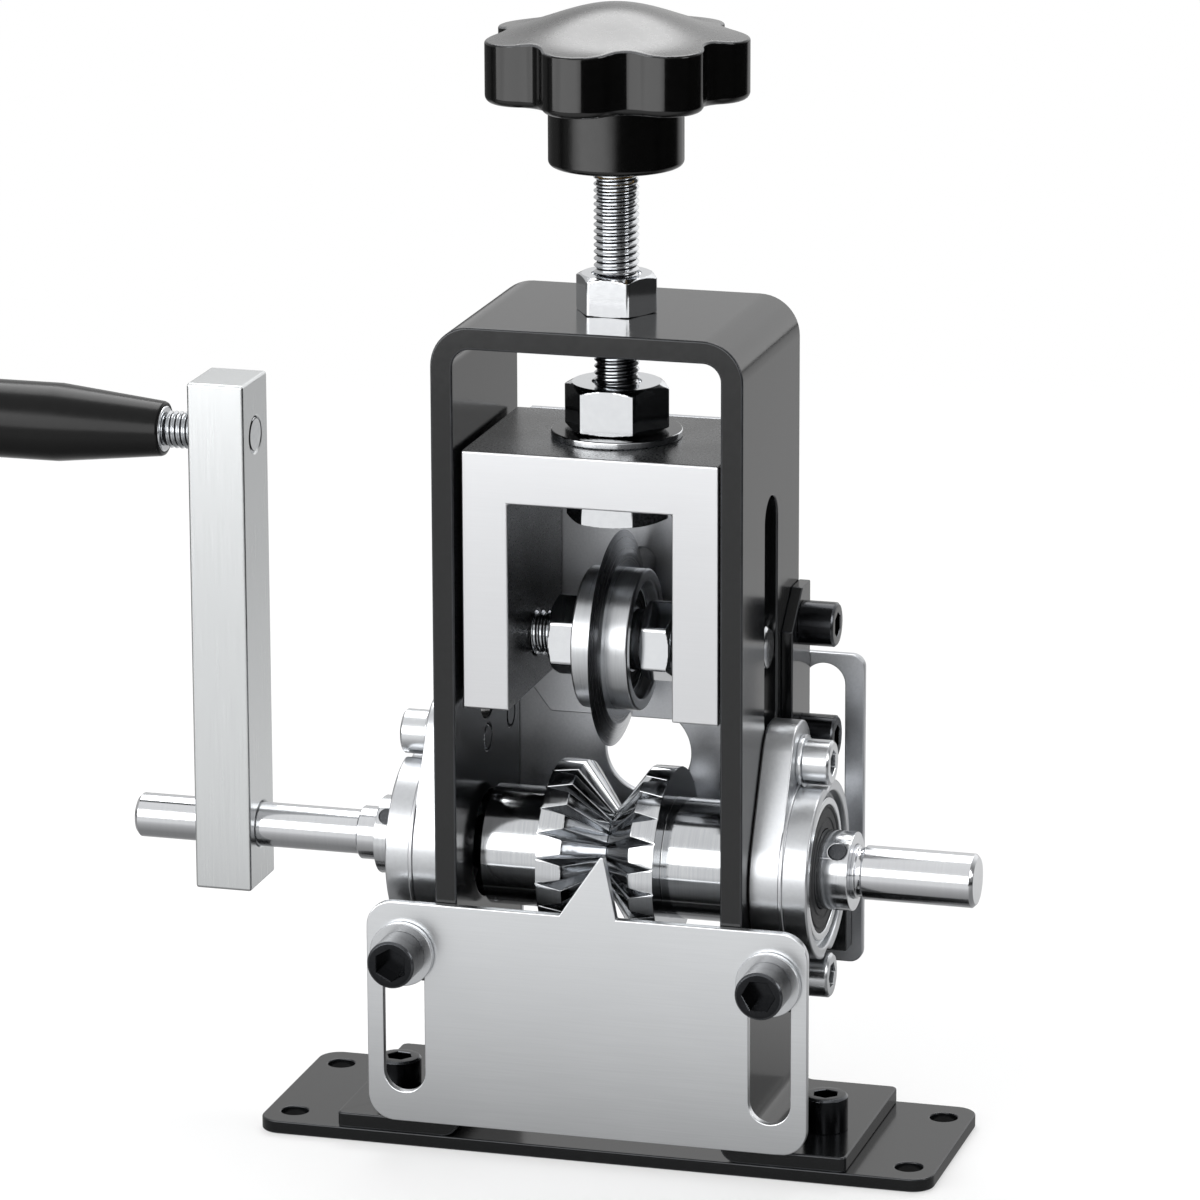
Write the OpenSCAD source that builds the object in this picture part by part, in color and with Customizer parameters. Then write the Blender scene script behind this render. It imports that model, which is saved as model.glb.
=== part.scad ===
// Bench wire stripping machine: a toothed feed roller turned by a crank or a powered drive,
// and a round blade on a carriage that an adjusting screw moves up and down.
// Millimetres. +X runs along the shaft to the drive end, -Y faces the user, +Z is up.
// The origin is the centre of the base plate's underside.

/* [Base plate] */
// Reach of the base plate past each foot
base_side = 19; // [14:0.5:30]
// Thickness of the base plate
base_t = 3; // [2:0.5:6]
// Corner radius of the base plate
base_corner_r = 5; // [1:0.5:8]
// Distance of the bench holes from the base plate's ends
bench_in = 6.5; // [5.5:0.5:10]
// Distance of the bench holes from the base plate's front and back edges
bench_edge = 8; // [6:0.5:12]
// Diameter of the bench holes
bench_hole_d = 6.2; // [4:0.1:8]

/* [Frame] */
// Outer width across the two legs
frame_w = 70; // [68:1:74]
// Depth of the frame's steel strip, front to back
frame_d = 50; // [48:1:56]
// Thickness of the legs and of the top
strip_t = 5; // [4:0.5:6]
// Height from the feet's underside to the frame's top
frame_h = 185; // [180:1:200]
// Outside radius of the two top bends
frame_bend_r = 9; // [7:0.5:12]
// Length of each foot from the leg's outer face
foot_l = 23.5; // [22:0.5:26]
// Thickness of the feet
foot_t = 3.5; // [3:0.5:5]
// Radius of the bend between a leg and its foot
foot_bend_r = 4; // [2:0.5:5]
// Corner radius of the feet in plan
foot_corner_r = 1.5; // [0.5:0.5:4]
// Width of the slot for the blade axle in each leg
axle_slot_w = 11; // [10.6:0.2:14]
// Reach of that slot above the axle's rest height
axle_slot_high = 34.5; // [16:0.5:40]
// Diameter of the shaft hole in each leg
leg_hole_d = 24; // [20:1:28]

/* [Shaft and drive] */
// Diameter of the shaft in its bearings
shaft_d = 12; // [11:0.5:13]
// Diameter of the shaft's crank end
crank_end_d = 10; // [8:0.5:11]
// Distance from the left leg to the step between the two diameters
shaft_step_out = 24.5; // [22:0.5:29]
// Length of the shaft past the crank arm
crank_end_over = 15.8; // [4:0.1:24]
// Length of the drive end from the right leg
drive_out = 47; // [40:1:60]
// Diameter of the groove beside the drive end
stub_groove_d = 11; // [9:0.1:11]
// Width of that groove
stub_groove_w = 1.2; // [1:0.1:2]
// Chamfer on the shaft's ends
shaft_chamfer = 0.8; // [0.3:0.1:1.5]

/* [Feed roller] */
// Gap between the roller's hubs and the legs
roller_end_gap = 2; // [1:0.5:4]
// Diameter of the roller's hubs
roller_hub_d = 27; // [24:0.5:30]
// Width of the toothed part
tooth_zone_w = 26.8; // [24:0.2:30]
// Diameter over the toothed lands
land_d = 40.4; // [36:0.2:42]
// Width of each land
land_w = 5.7; // [4:0.1:7]
// Diameter of the waist between the two cones
waist_d = 20; // [18:0.5:24]
// Number of teeth around each side
tooth_count = 22; // [16:1:26]
// Depth of a tooth groove below the waist
tooth_depth = 1.7; // [1:0.1:2]
// Included angle of a tooth groove
tooth_angle = 40; // [30:1:50]
// Angle of the left half's teeth against the right half's
half_turn = -1.5; // [-8:0.5:8]
// Gap between the roller's two halves
half_gap = 0.1; // [0.05:0.05:0.5]

/* [Flange bearings] */
// Distance between the two screws of a housing
flange_pitch = 49; // [48:0.5:50]
// Radius of the housing's two ends
flange_end_r = 9; // [8:0.5:10]
// Thickness of the housing's flange
flange_t = 7; // [6:0.5:9]
// Diameter of the housing's boss
boss_d = 40; // [39:0.5:41]
// Length of the housing from the leg to the boss's rim
boss_l = 13.2; // [13:0.1:15]
// Diameter of the boss's mouth
mouth_d = 34.8; // [34:0.2:36]
// Depth of the boss's mouth
mouth_depth = 2; // [1:0.1:2.5]
// Outer diameter of the shaft bearing
bearing_od = 32; // [31:0.5:33]
// Width of the shaft bearing's outer ring
bearing_w = 10; // [9:0.5:11]
// Distance from the leg to the outer ring
bearing_back = 2.5; // [1.5:0.1:3]
// Inner diameter of the outer ring
race_od = 28.4; // [28:0.2:29]
// Radial gap between the two rings
race_gap = 5.4; // [5.2:0.1:5.6]
// Length of the extended inner ring
inner_ring_l = 18; // [16:0.5:20]
// Distance from the leg to the inner ring
inner_ring_back = 1.5; // [0.5:0.1:3]
// Diameter of a ball in the shaft bearings
ball_d = 6; // [5.6:0.1:6.2]
// Number of balls in a shaft bearing
ball_count = 8; // [6:1:9]
// Thickness of a bearing shield
shield_t = 0.6; // [0.4:0.1:0.8]

/* [Carriage] */
// Gap between the carriage and each leg
carriage_side_gap = 1; // [0.5:0.1:2]
// Distance of the carriage's front and back from the frame's edges
carriage_inset = 2.5; // [1.5:0.5:4]
// Room beside each axle nut in the carriage's window
nut_room = 4.55; // [2:0.05:6]
// Gap between the blade's edge and the end of the adjusting screw
blade_top_gap = 2.3; // [1:0.1:5]
// Thickness of the carriage's beam
beam_t = 11.5; // [10:0.5:13]
// Height of the blade axle above the carriage's lower edge
axle_up = 12; // [10:0.5:14]
// Thickness of the carriage's back wall
back_t = 2; // [1.5:0.5:3]
// Distance of the back wall's sides from the carriage's sides
back_in = 3; // [1:0.5:6]
// Reach of the back wall below the carriage's lower edge
back_drop = 12; // [8:0.5:14]
// Width of the cut on the back wall's lower corners
back_cut_w = 4.5; // [2:0.5:6]
// Height of the cut on the back wall's lower corners
back_cut_h = 6; // [3:0.5:8]
// Width of the back wall's slot, which the blade's rim runs in
blade_slot_w = 6; // [5:0.5:10]

/* [Blade] */
// Distance of the blade's edge from the frame's front and back edges
blade_inset = 1; // [0.5:0.5:3]
// Thickness of the blade at its hub
blade_t = 3; // [2:0.1:4]
// Radial width of the blade's flat between its hub and its ground bevel
blade_flat = 3.25; // [2:0.25:5]
// Diameter of the blade's hub
hub_d = 31.5; // [30:0.5:33]
// Width of the blade's hub
hub_w = 13.5; // [12:0.5:15]
// Diameter of the blade axle
axle_d = 10; // [9:0.1:10.2]
// Distance of the blade axle's ends from the legs' outer faces
axle_in = 0.5; // [0.5:0.5:4]
// Outer diameter of the blade's bearing
blade_bearing_od = 26; // [25:0.5:27]
// Width of the blade's bearing
blade_bearing_w = 8; // [7:0.5:9]
// Inner diameter of its outer ring
blade_race_od = 22.4; // [22:0.1:23]
// Radial gap between its two rings
blade_race_gap = 3.9; // [3.7:0.1:4.1]
// Diameter of a ball in the blade's bearing
blade_ball_d = 4.7; // [4.3:0.1:4.9]
// Number of balls in the blade's bearing
blade_ball_count = 8; // [6:1:9]
// Outer diameter of the spacers beside the bearing
spacer_d = 13.6; // [12:0.1:14]
// Width across the flats of the axle nuts
axle_nut_af = 16; // [14:0.5:18]
// Thickness of the axle nuts
axle_nut_h = 7.2; // [6:0.1:8]

/* [Adjusting screw] */
// Diameter of the adjusting screw
screw_d = 10; // [9:0.1:10.4]
// Width across the flats of the frame's top nut
top_nut_af = 16; // [15:0.5:18]
// Height of the frame's top nut
top_nut_h = 8.4; // [7:0.1:10]
// Angle of the top nut about the screw
top_nut_turn = 5; // [0:1:60]
// Width across the flats of the upper lock nut
upper_nut_af = 20.5; // [18:0.5:22]
// Height of the upper lock nut
upper_nut_h = 10.3; // [8:0.1:11]
// Width across the flats of the lower lock nut
lower_nut_af = 20; // [18:0.5:22]
// Height of the lower lock nut
lower_nut_h = 5.8; // [4:0.1:6]
// Angle of the lock nuts about the screw
lock_nut_turn = 24; // [0:1:60]
// Diameter of the washer above the carriage's beam
upper_washer_d = 29; // [24:0.5:34]
// Thickness of the washer above the carriage's beam
upper_washer_t = 1.7; // [1:0.1:2.5]
// Diameter of the washer below the beam
lower_washer_d = 25; // [22:0.5:30]
// Thickness of the washer below the beam
lower_washer_t = 1.2; // [0.8:0.1:1.5]
// Length of screw below the lower lock nut
screw_tail = 1; // [0.5:0.1:1.2]

/* [Knob] */
// Diameter over the knob's lobes
knob_d = 60; // [50:1:70]
// Number of lobes
lobe_count = 7; // [7:1:7]
// Radius of a lobe's round tip
lobe_r = 8; // [7:0.5:9]
// Radius of the hollow between two lobes
hollow_r = 3.2; // [2.6:0.1:4]
// Height of the knob's lobed side
knob_side_h = 14.4; // [12:0.2:18]
// Rise of the knob's domed top
dome_h = 4.9; // [3:0.1:7]
// Diameter of the knob's hub
knob_hub_d = 30.4; // [26:0.2:34]
// Height of the knob's hub
knob_hub_h = 15.6; // [12:0.2:20]
// Height of the hub above the frame's top
knob_stand = 33.2; // [28:0.2:40]
// Angle of the hollow that faces forward, from straight ahead
knob_turn = 20; // [0:1:51]
// Outer diameter of the threaded insert
insert_d = 14; // [13:0.5:18]
// Depth of the screw in the knob
insert_l = 20; // [14:0.5:22]

/* [Guide plates] */
// Thickness of both guide plates
plate_t = 2; // [1.5:0.1:3]
// Reach of the front plate past each leg
front_plate_side = 15.3; // [14:0.1:16]
// Height of the front plate's upper edge above the plate screws at rest
front_plate_over = 11.6; // [10:0.1:13]
// Corner radius of the front plate
front_corner_r = 6; // [2:0.5:6]
// Gap between the front plate and the feet at rest
front_plate_gap = 0.1; // [0.1:0.1:1]
// Width of the slots in both plates
slot_w = 9.5; // [7:0.1:9.5]
// Distance of the front plate's slots from the legs' outer faces
front_slot_out = 6.8; // [6.5:0.1:7]
// Distance from the front plate's lower edge to its slots
front_slot_low = 6.9; // [5:0.1:9]
// Distance from the front plate's upper edge to its slots
front_slot_top = 7; // [5:0.1:8]
// Height of the spike above the front plate
spike_h = 14; // [8:0.5:16]
// Reach of the spike's foot to the left
spike_left = 5.9; // [4:0.1:8]
// Reach of the spike's foot to the right
spike_right = 7.1; // [5.5:0.1:9]
// Distance of the spike's tip from the middle
spike_tip_x = 3.9; // [0:0.1:5]
// Width of the spike's blunt tip
spike_tip_w = 0.8; // [0.4:0.1:1.2]
// Reach of the rear plate past each leg
rear_plate_side = 15; // [14:0.1:16]
// Height of the rear plate
rear_plate_h = 71.8; // [68:0.2:76]
// Depth of the rear plate's lower edge below the shaft's axis
rear_plate_drop = 29.5; // [28.5:0.5:29.5]
// Corner radius of the rear plate
rear_corner_r = 3; // [1:0.5:4]
// Distance of the rear plate's slots from the legs' outer faces
rear_slot_out = 5.8; // [5.5:0.1:6]
// Distance from the rear plate's lower edge to its slots
rear_slot_low = 3; // [2:0.1:5]
// Distance from the rear plate's upper edge to its slots
rear_slot_top = 2.4; // [2:0.1:4]
// Diameter of the wire hole
wire_hole_d = 20; // [16:0.5:24]
// Height of the wire hole above the shaft's axis
wire_hole_up = 16.5; // [12:0.5:20]
// Height of the cut-out in the rear plate's lower edge
rear_cut_h = 17; // [12:0.5:20]
// Width of the lugs on the legs
lug_w = 12.5; // [12:0.5:14]
// Height of the lugs
lug_h = 14; // [12:0.5:16]
// Gap between the lugs and the bosses, front to back
lug_gap = 0.2; // [0.1:0.1:1]
// Depth of the plate screws below the shaft's axis
plate_screw_drop = 18.5; // [18:0.5:19]

/* [Side straps] */
// Thickness of the side straps
strap_t = 2.6; // [2:0.1:3.5]
// Depth of the side straps, front to back
strap_d = 16; // [14:0.5:17]
// Height of the side straps
strap_h = 42; // [40:0.5:46]
// Height of the straps' lower end above the shaft's axis
strap_up = 17; // [15.5:0.5:17.5]
// Depth of the cut on the strap's upper front corner
strap_cut_d = 9; // [4:0.5:10]
// Height of the cut on the strap's upper front corner
strap_cut_h = 8; // [4:0.5:9]
// Distance from the strap's lower end to the lower screw
strap_screw_low = 8; // [7.5:0.5:9]
// Distance between the two screws of a strap
strap_screw_pitch = 26; // [24:0.5:27]
// Distance of the strap screws from the frame's back edge
strap_screw_in = 7; // [6.6:0.1:8]

/* [Crank and handle] */
// Width of the crank arm along the shaft
arm_w = 13.2; // [12:0.2:15]
// Thickness of the crank arm across the shaft
arm_t = 16.8; // [14:0.2:20]
// Distance from the shaft's axis to the arm's short end
arm_below = 13.7; // [10:0.1:16]
// Distance between the shaft's axis and the handle's axis
arm_reach = 90.4; // [70:0.2:110]
// Distance from the handle's axis to the arm's long end
arm_above = 12.8; // [8:0.1:15]
// Distance from the left leg to the arm's inner face
arm_out = 48.5; // [43:0.5:53]
// Diameter of the handle's stud
stud_d = 8; // [7.5:0.1:9]
// Length of bare thread between the arm and the grip
stud_bare = 7.7; // [5:0.1:10]
// Diameter of the stud inside the grip
stud_core_d = 6; // [5:0.1:7]
// Diameter of the grip's small end
grip_small_d = 12.9; // [11:0.1:14]
// Diameter of the grip's thick part
grip_d = 18; // [16:0.2:24]
// Length of the grip's taper
grip_taper_l = 30; // [20:0.5:36]
// Length of the grip
grip_l = 80; // [70:1:100]
// Radius of the grip's round end
grip_end_r = 6; // [3:0.5:7]
// Width of the ferrule at the grip's small end
ferrule_w = 2.4; // [1.5:0.1:4]
// Diameter of the screw head that keeps the grip on
end_screw_d = 10; // [9:0.2:11]
// Height of that screw's head
end_screw_h = 3.5; // [2:0.1:4]
// Diameter of its shank
end_shank_d = 4; // [3:0.1:4.5]
// Length of its shank
end_shank_l = 10; // [6:0.5:16]
// Depth of the hollow that the head lies in
end_recess = 7; // [5:0.5:9]

/* [Fasteners] */
// Diameter of the machine's socket screws
m6_d = 6; // [5:0.1:6]
// Head diameter of those screws
m6_head_d = 10; // [9.5:0.1:10.4]
// Head height of the black socket screws
m6_head_h = 8; // [6:0.1:8]
// Head height of the bearing screws
bearing_head_h = 6; // [5:0.1:7]
// Width across the flats of the key socket
m6_key_af = 5; // [4:0.5:5]
// Depth of the key socket
m6_key_depth = 3.5; // [2:0.1:4]
// Outer diameter of the bearing screws' washers
m6_washer_d = 11.8; // [11:0.1:12]
// Thickness of the bearing screws' washers
m6_washer_t = 1.2; // [1:0.1:1.6]
// Outer diameter of the guide plates' washers
plate_washer_d = 14.5; // [13:0.1:16]
// Thickness of the guide plates' washers
plate_washer_t = 1.5; // [1:0.1:2]
// Diameter of the grub screws
grub_d = 4; // [3:0.1:4]
// Angle of an inner ring's first grub screw about the shaft, from straight down
grub_turn = 225; // [0:5:355]
// Angle between an inner ring's two grub screws
grub_spread = 120; // [90:5:180]
// Distance of the foot screws from the legs' outer faces
foot_screw_out = 14.5; // [12:0.5:16]
// Distance of the foot screws in front of the middle
foot_screw_y = 6.5; // [0:0.5:10]

/* [Fits] */
// Radial clearance between a shaft and what turns or slides on it
run_fit = 0.05; // [0.03:0.01:0.08]
// Gap between faces that slide past each other
slide_gap = 0.2; // [0.15:0.05:0.3]
// Radial clearance round a screw in its thread or hole
screw_gap = 0.05; // [0.03:0.01:0.1]
// Gap between turning parts that never touch
free_gap = 0.3; // [0.2:0.05:0.4]

/* [Hidden] */
$fn = 96;
// Overrun of every cut past the face it breaks through
over = 1;
// Radius over the edge chamfer of a hexagon nut, as a share of its corner radius
nut_chamfer_share = 0.93;
// Height of a nut's edge chamfer, as a share of the nut's corner radius
nut_slope_share = 0.05;
// How the frame's spare height is shared out: under the bearings, under the blade, over the carriage
height_shares = [245, 155, 108];

leg_x = frame_w / 2;
leg_in = leg_x - strip_t;
frame_top = base_t + frame_h;
foot_top = base_t + foot_t;
foot_span = frame_w + 2 * foot_l;
foot_screw_x = leg_x + foot_screw_out;
base_w = foot_span + 2 * base_side;
bench_x = base_w - 2 * bench_in;
base_d = frame_d;
bench_y = base_d - 2 * bench_edge;
land_r = land_d / 2;
waist_r = waist_d / 2;
zone_x = tooth_zone_w / 2;
cone_x = zone_x - land_w;
roller_l = 2 * (leg_in - roller_end_gap);
blade_d = frame_d - 2 * blade_inset;
blade_bevel = (blade_d - hub_d) / 2 - blade_flat;
// The heights that the pieces on the frame take up between its feet and its top
bearing_reach = flange_pitch / 2 + flange_end_r;
lower_stack = lower_washer_t + slide_gap + lower_nut_h + screw_tail;
upper_stack = upper_washer_t + slide_gap + upper_nut_h;
carriage_h = axle_up + blade_d / 2 + blade_top_gap + lower_stack + beam_t;
taken_h = foot_t + bearing_reach + waist_r + blade_d / 2 + carriage_h - axle_up + upper_stack + strip_t;
spare_h = frame_h - taken_h;
spare_parts = height_shares[0] + height_shares[1] + height_shares[2];
shaft_z = foot_top + bearing_reach + spare_h * height_shares[0] / spare_parts;
blade_gap = spare_h * height_shares[1] / spare_parts;
axle_slot_low = axle_d / 2 + blade_gap;
blade_z = shaft_z + waist_r + blade_gap + blade_d / 2;
carriage_w = 2 * (leg_in - carriage_side_gap);
carriage_d = frame_d - 2 * carriage_inset;
window_w = hub_w + 2 * axle_nut_h + 2 * nut_room;
back_w = carriage_w - 2 * back_in;
axle_l = frame_w - 2 * axle_in;
carriage_z = blade_z - axle_up;
carriage_top = carriage_z + carriage_h;
beam_z = carriage_top - beam_t;
block_d = carriage_d - back_t;
carriage_y = -carriage_d / 2;
upper_nut_z = carriage_top + upper_washer_t + slide_gap;
lower_nut_z = beam_z - lower_washer_t - slide_gap - lower_nut_h;
screw_low_z = lower_nut_z - screw_tail;
hub_z = frame_top + knob_stand;
knob_z = hub_z + knob_hub_h;
knob_r = knob_d / 2;
dome_r = (knob_r * knob_r + dome_h * dome_h) / (2 * dome_h);
screw_top_z = hub_z + insert_l;
stud_z = shaft_z + arm_reach;
arm_x = leg_x + arm_out;
arm_out_x = -arm_x - arm_w;
crank_end_x = arm_x + arm_w + crank_end_over;
shaft_step_x = leg_x + shaft_step_out;
drive_end_x = leg_x + drive_out;
grip_x = arm_out_x - stud_bare;
// Distance along the handle from the grip's small end to the stud's tip
stud_end = grip_l - end_recess + slide_gap;
arm_clear = crank_end_d / 2 + screw_gap;
front_y = -frame_d / 2;
back_y = frame_d / 2;
front_plate_y = front_y - slide_gap - plate_t;
rear_plate_y = back_y + slide_gap;
plate_screw_z = shaft_z - plate_screw_drop;
front_plate_w = frame_w + 2 * front_plate_side;
front_plate_z = foot_top + front_plate_gap;
front_plate_top = plate_screw_z + front_plate_over;
front_plate_h = front_plate_top - front_plate_z;
front_slot_pitch = frame_w + 2 * front_slot_out;
rear_plate_w = frame_w + 2 * rear_plate_side;
rear_plate_low = shaft_z - rear_plate_drop;
rear_slot_pitch = frame_w + 2 * rear_slot_out;
lug_d = (frame_d - boss_d) / 2 - lug_gap;
lug_z = plate_screw_z - lug_h / 2;
front_washer_y = front_plate_y - slide_gap - plate_washer_t;
rear_washer_y = rear_plate_y + plate_t + slide_gap;
plate_shank_l = frame_d / 2 - front_washer_y - frame_d + lug_d;
strap_y = back_y - strap_d;
strap_screw_y = back_y - strap_screw_in;
strap_low = shaft_z + strap_up;
strap_screw_z = strap_low + strap_screw_low;
bearing_mid = bearing_back + bearing_w / 2;
race_id = race_od - 2 * race_gap;
ball_ring_r = (race_od + race_id) / 4;
groove_r = ball_d / 2 + run_fit;
blade_race_id = blade_race_od - 2 * blade_race_gap;
blade_ball_ring_r = (blade_race_od + blade_race_id) / 4;
blade_groove_r = blade_ball_d / 2 + run_fit;
m6_r = m6_d / 2;
bore_r = m6_r + screw_gap;
grub_x = leg_x + inner_ring_back + inner_ring_l - grub_d / 2 - shaft_chamfer;

// Helpers

// Turns what is drawn along +Z so that it runs along +X from x0, at the height z.
module along_x(x0, z) {
    translate([x0, 0, z]) rotate([0, 90, 0]) children();
}

// Turns what is drawn along +Z so that it runs along +Y from the point at.
module along_y(at) {
    translate(at) rotate([-90, 0, 0]) children();
}

// Draws what is given on both sides of the machine.
module both_sides() {
    children();
    mirror([1, 0, 0]) children();
}

module ring(outer_r, inner_r, length) {
    difference() {
        cylinder(h = length, r = outer_r);
        translate([0, 0, -over]) cylinder(h = length + 2 * over, r = inner_r);
    }
}

module rounded_rect(width, height, radius) {
    square([width - 2 * radius, height], center = true);
    square([width, height - 2 * radius], center = true);
    for (x = [-1, 1], y = [-1, 1])
        translate([x * (width / 2 - radius), y * (height / 2 - radius)]) circle(r = radius);
}

// A slot with round ends, standing along the second axis of its plane.
module slot_outline(width, low, high) {
    translate([-width / 2, low + width / 2]) square([width, high - low - width]);
    translate([0, low + width / 2]) circle(d = width);
    translate([0, high - width / 2]) circle(d = width);
}

// A socket screw along Z: its head stands on the plane z = 0 and its shank goes down.
module socket_screw(head_h, shank_l) {
    difference() {
        union() {
            cylinder(h = head_h, d = m6_head_d);
            translate([0, 0, -shank_l]) cylinder(h = shank_l, d = m6_d);
        }
        translate([0, 0, head_h - m6_key_depth])
            cylinder(h = m6_key_depth + over, d = m6_key_af / cos(30), $fn = 6);
    }
}

// A hexagon nut along Z with chamfered corners on its upper and lower faces.
module hex_nut(flats, height, hole_r) {
    corner_r = flats / 2 / cos(30);
    slope = corner_r * nut_slope_share;
    difference() {
        intersection() {
            cylinder(h = height, r = corner_r, $fn = 6);
            rotate_extrude()
                polygon([[0, 0], [corner_r * nut_chamfer_share, 0], [corner_r, slope],
                    [corner_r, height - slope], [corner_r * nut_chamfer_share, height], [0, height]]);
        }
        translate([0, 0, -over]) cylinder(h = height + 2 * over, r = hole_r);
    }
}

// The balls of a bearing whose middle plane is z = 0.
module ball_set(count, radius, size) {
    for (i = [0 : count - 1])
        rotate([0, 0, 360 * i / count]) translate([radius, 0, 0]) sphere(d = size);
}

// The cage that keeps those balls apart.
module cage(count, radius, size, width, thickness) {
    difference() {
        translate([0, 0, -width / 2]) ring(radius + thickness / 2, radius - thickness / 2, width);
        for (i = [0 : count - 1])
            rotate([0, 0, 360 * i / count]) translate([radius - thickness, 0, 0]) rotate([0, 90, 0])
                cylinder(h = 2 * thickness, d = size + 2 * run_fit);
    }
}

// The round groove that the balls run in.
module race_groove(radius, size) {
    rotate_extrude() translate([radius, 0]) circle(r = size);
}

// Stand

module base_plate() {
    color("#1b1c1e")
    difference() {
        linear_extrude(base_t) rounded_rect(base_w, base_d, base_corner_r);
        for (x = [-1, 1], y = [-1, 1])
            translate([x * bench_x / 2, y * bench_y / 2, -over])
                cylinder(h = base_t + 2 * over, d = bench_hole_d);
        for (x = [-1, 1])
            translate([x * foot_screw_x, -foot_screw_y, -over])
                cylinder(h = base_t + 2 * over, r = bore_r);
    }
}

// The strip's section across the machine: an inverted U with its feet turned out.
module frame_section() {
    inner_r = frame_bend_r - strip_t;
    heel_r = foot_bend_r;
    difference() {
        union() {
            translate([-leg_x, base_t]) square([frame_w, frame_h - frame_bend_r]);
            translate([-leg_x + frame_bend_r, base_t]) square([frame_w - 2 * frame_bend_r, frame_h]);
            for (x = [-1, 1])
                translate([x * (leg_x - frame_bend_r), frame_top - frame_bend_r]) circle(r = frame_bend_r);
            translate([-foot_span / 2, base_t]) square([foot_span, foot_t]);
            translate([-leg_x - foot_bend_r, base_t])
                square([frame_w + 2 * foot_bend_r, foot_t + foot_bend_r]);
        }
        for (x = [-1, 1])
            translate([x * (leg_x + foot_bend_r), foot_top + foot_bend_r]) circle(r = foot_bend_r);
        translate([-leg_in, base_t - over]) square([2 * leg_in, frame_h - strip_t - inner_r + over]);
        translate([-leg_in + inner_r, base_t - over])
            square([2 * leg_in - 2 * inner_r, frame_h - strip_t + over]);
        for (x = [-1, 1])
            translate([x * (leg_in - inner_r), frame_top - strip_t - inner_r]) circle(r = inner_r);
        for (x = [0, 1]) mirror([x, 0]) difference() {
            translate([leg_in - over, base_t - over]) square(heel_r + over);
            translate([leg_in + heel_r, base_t + heel_r]) circle(r = heel_r);
        }
    }
}

module frame() {
    color("#17181a")
    difference() {
        intersection() {
            translate([0, back_y, 0]) rotate([90, 0, 0]) linear_extrude(frame_d) frame_section();
            linear_extrude(frame_top + over) rounded_rect(foot_span, frame_d, foot_corner_r);
        }
        along_x(-leg_x - over, shaft_z) cylinder(h = frame_w + 2 * over, d = leg_hole_d);
        for (s = [-1, 1])
            along_x(-leg_x - over, shaft_z + s * flange_pitch / 2)
                cylinder(h = frame_w + 2 * over, r = bore_r);
        for (i = [0, 1])
            translate([0, strap_screw_y, 0])
                along_x(-leg_x - over, strap_screw_z + i * strap_screw_pitch)
                    cylinder(h = frame_w + 2 * over, r = bore_r);
        along_x(-leg_x - over, blade_z) rotate([0, 0, 90]) linear_extrude(frame_w + 2 * over)
            slot_outline(axle_slot_w, -axle_slot_low, axle_slot_high);
        translate([0, 0, frame_top - strip_t - over])
            cylinder(h = strip_t + 2 * over, d = screw_d + 2 * free_gap);
        for (x = [-1, 1])
            translate([x * foot_screw_x, -foot_screw_y, base_t - over])
                cylinder(h = foot_t + 2 * over, r = bore_r);
    }
}

module foot_screws() {
    color("#101113")
    for (x = [-1, 1])
        translate([x * foot_screw_x, -foot_screw_y, foot_top]) socket_screw(m6_head_h, foot_top);
}

module top_nut() {
    color("#d9dbdd")
    translate([0, 0, frame_top]) rotate([0, 0, top_nut_turn])
        hex_nut(top_nut_af, top_nut_h, screw_d / 2 + run_fit);
}

// Flange bearings, drawn along +Z from the leg's outer face, with the two screws along X.

module flange_outline(grow) {
    big_r = boss_d / 2 + grow;
    end_r = flange_end_r + grow;
    half = flange_pitch / 2;
    lean = acos((big_r - end_r) / half);
    circle(r = big_r);
    for (s = [-1, 1]) translate([s * half, 0]) circle(r = end_r);
    for (s = [-1, 1])
        polygon([
            [0, 0],
            [s * big_r * cos(lean), big_r * sin(lean)],
            [s * (half + end_r * cos(lean)), end_r * sin(lean)],
            [s * (half + end_r * cos(lean)), -end_r * sin(lean)],
            [s * big_r * cos(lean), -big_r * sin(lean)]
        ]);
}

module at_bearing() {
    along_x(leg_x, shaft_z) children();
}

module at_flange_screws() {
    for (s = [-1, 1]) translate([s * flange_pitch / 2, 0, 0]) children();
}

module housing() {
    color("#c9cbcd")
    at_bearing() difference() {
        union() {
            linear_extrude(flange_t) flange_outline(0);
            cylinder(h = boss_l, d = boss_d);
        }
        translate([0, 0, -over]) cylinder(h = bearing_back + 2 * over, d = race_od);
        translate([0, 0, bearing_back]) cylinder(h = boss_l, d = bearing_od);
        translate([0, 0, boss_l - mouth_depth]) cylinder(h = mouth_depth + over, d = mouth_d);
        at_flange_screws() {
            translate([0, 0, -over]) cylinder(h = flange_t + 2 * over, r = bore_r);
            translate([0, 0, flange_t]) cylinder(h = boss_l, d = m6_washer_d + free_gap);
        }
    }
}

module outer_ring() {
    color("#dfe0e2")
    at_bearing() difference() {
        translate([0, 0, bearing_back]) ring(bearing_od / 2, race_od / 2, bearing_w);
        translate([0, 0, bearing_mid]) race_groove(ball_ring_r, groove_r);
    }
}

module inner_ring() {
    color("#d4d5d7")
    at_bearing() difference() {
        translate([0, 0, inner_ring_back]) ring(race_id / 2, shaft_d / 2 + screw_gap, inner_ring_l);
        translate([0, 0, bearing_mid]) race_groove(ball_ring_r, groove_r);
        translate([0, 0, grub_x - leg_x]) for (a = [grub_turn, grub_turn + grub_spread])
            rotate([0, 90, a]) cylinder(h = race_id, d = grub_d + 2 * screw_gap);
    }
}

module shields() {
    color("#2a2b2d")
    at_bearing() for (z = [bearing_back + shield_t / 2, bearing_back + bearing_w - 3 * shield_t / 2])
        translate([0, 0, z]) ring(race_od / 2, race_id / 2 + slide_gap, shield_t);
}

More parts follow.
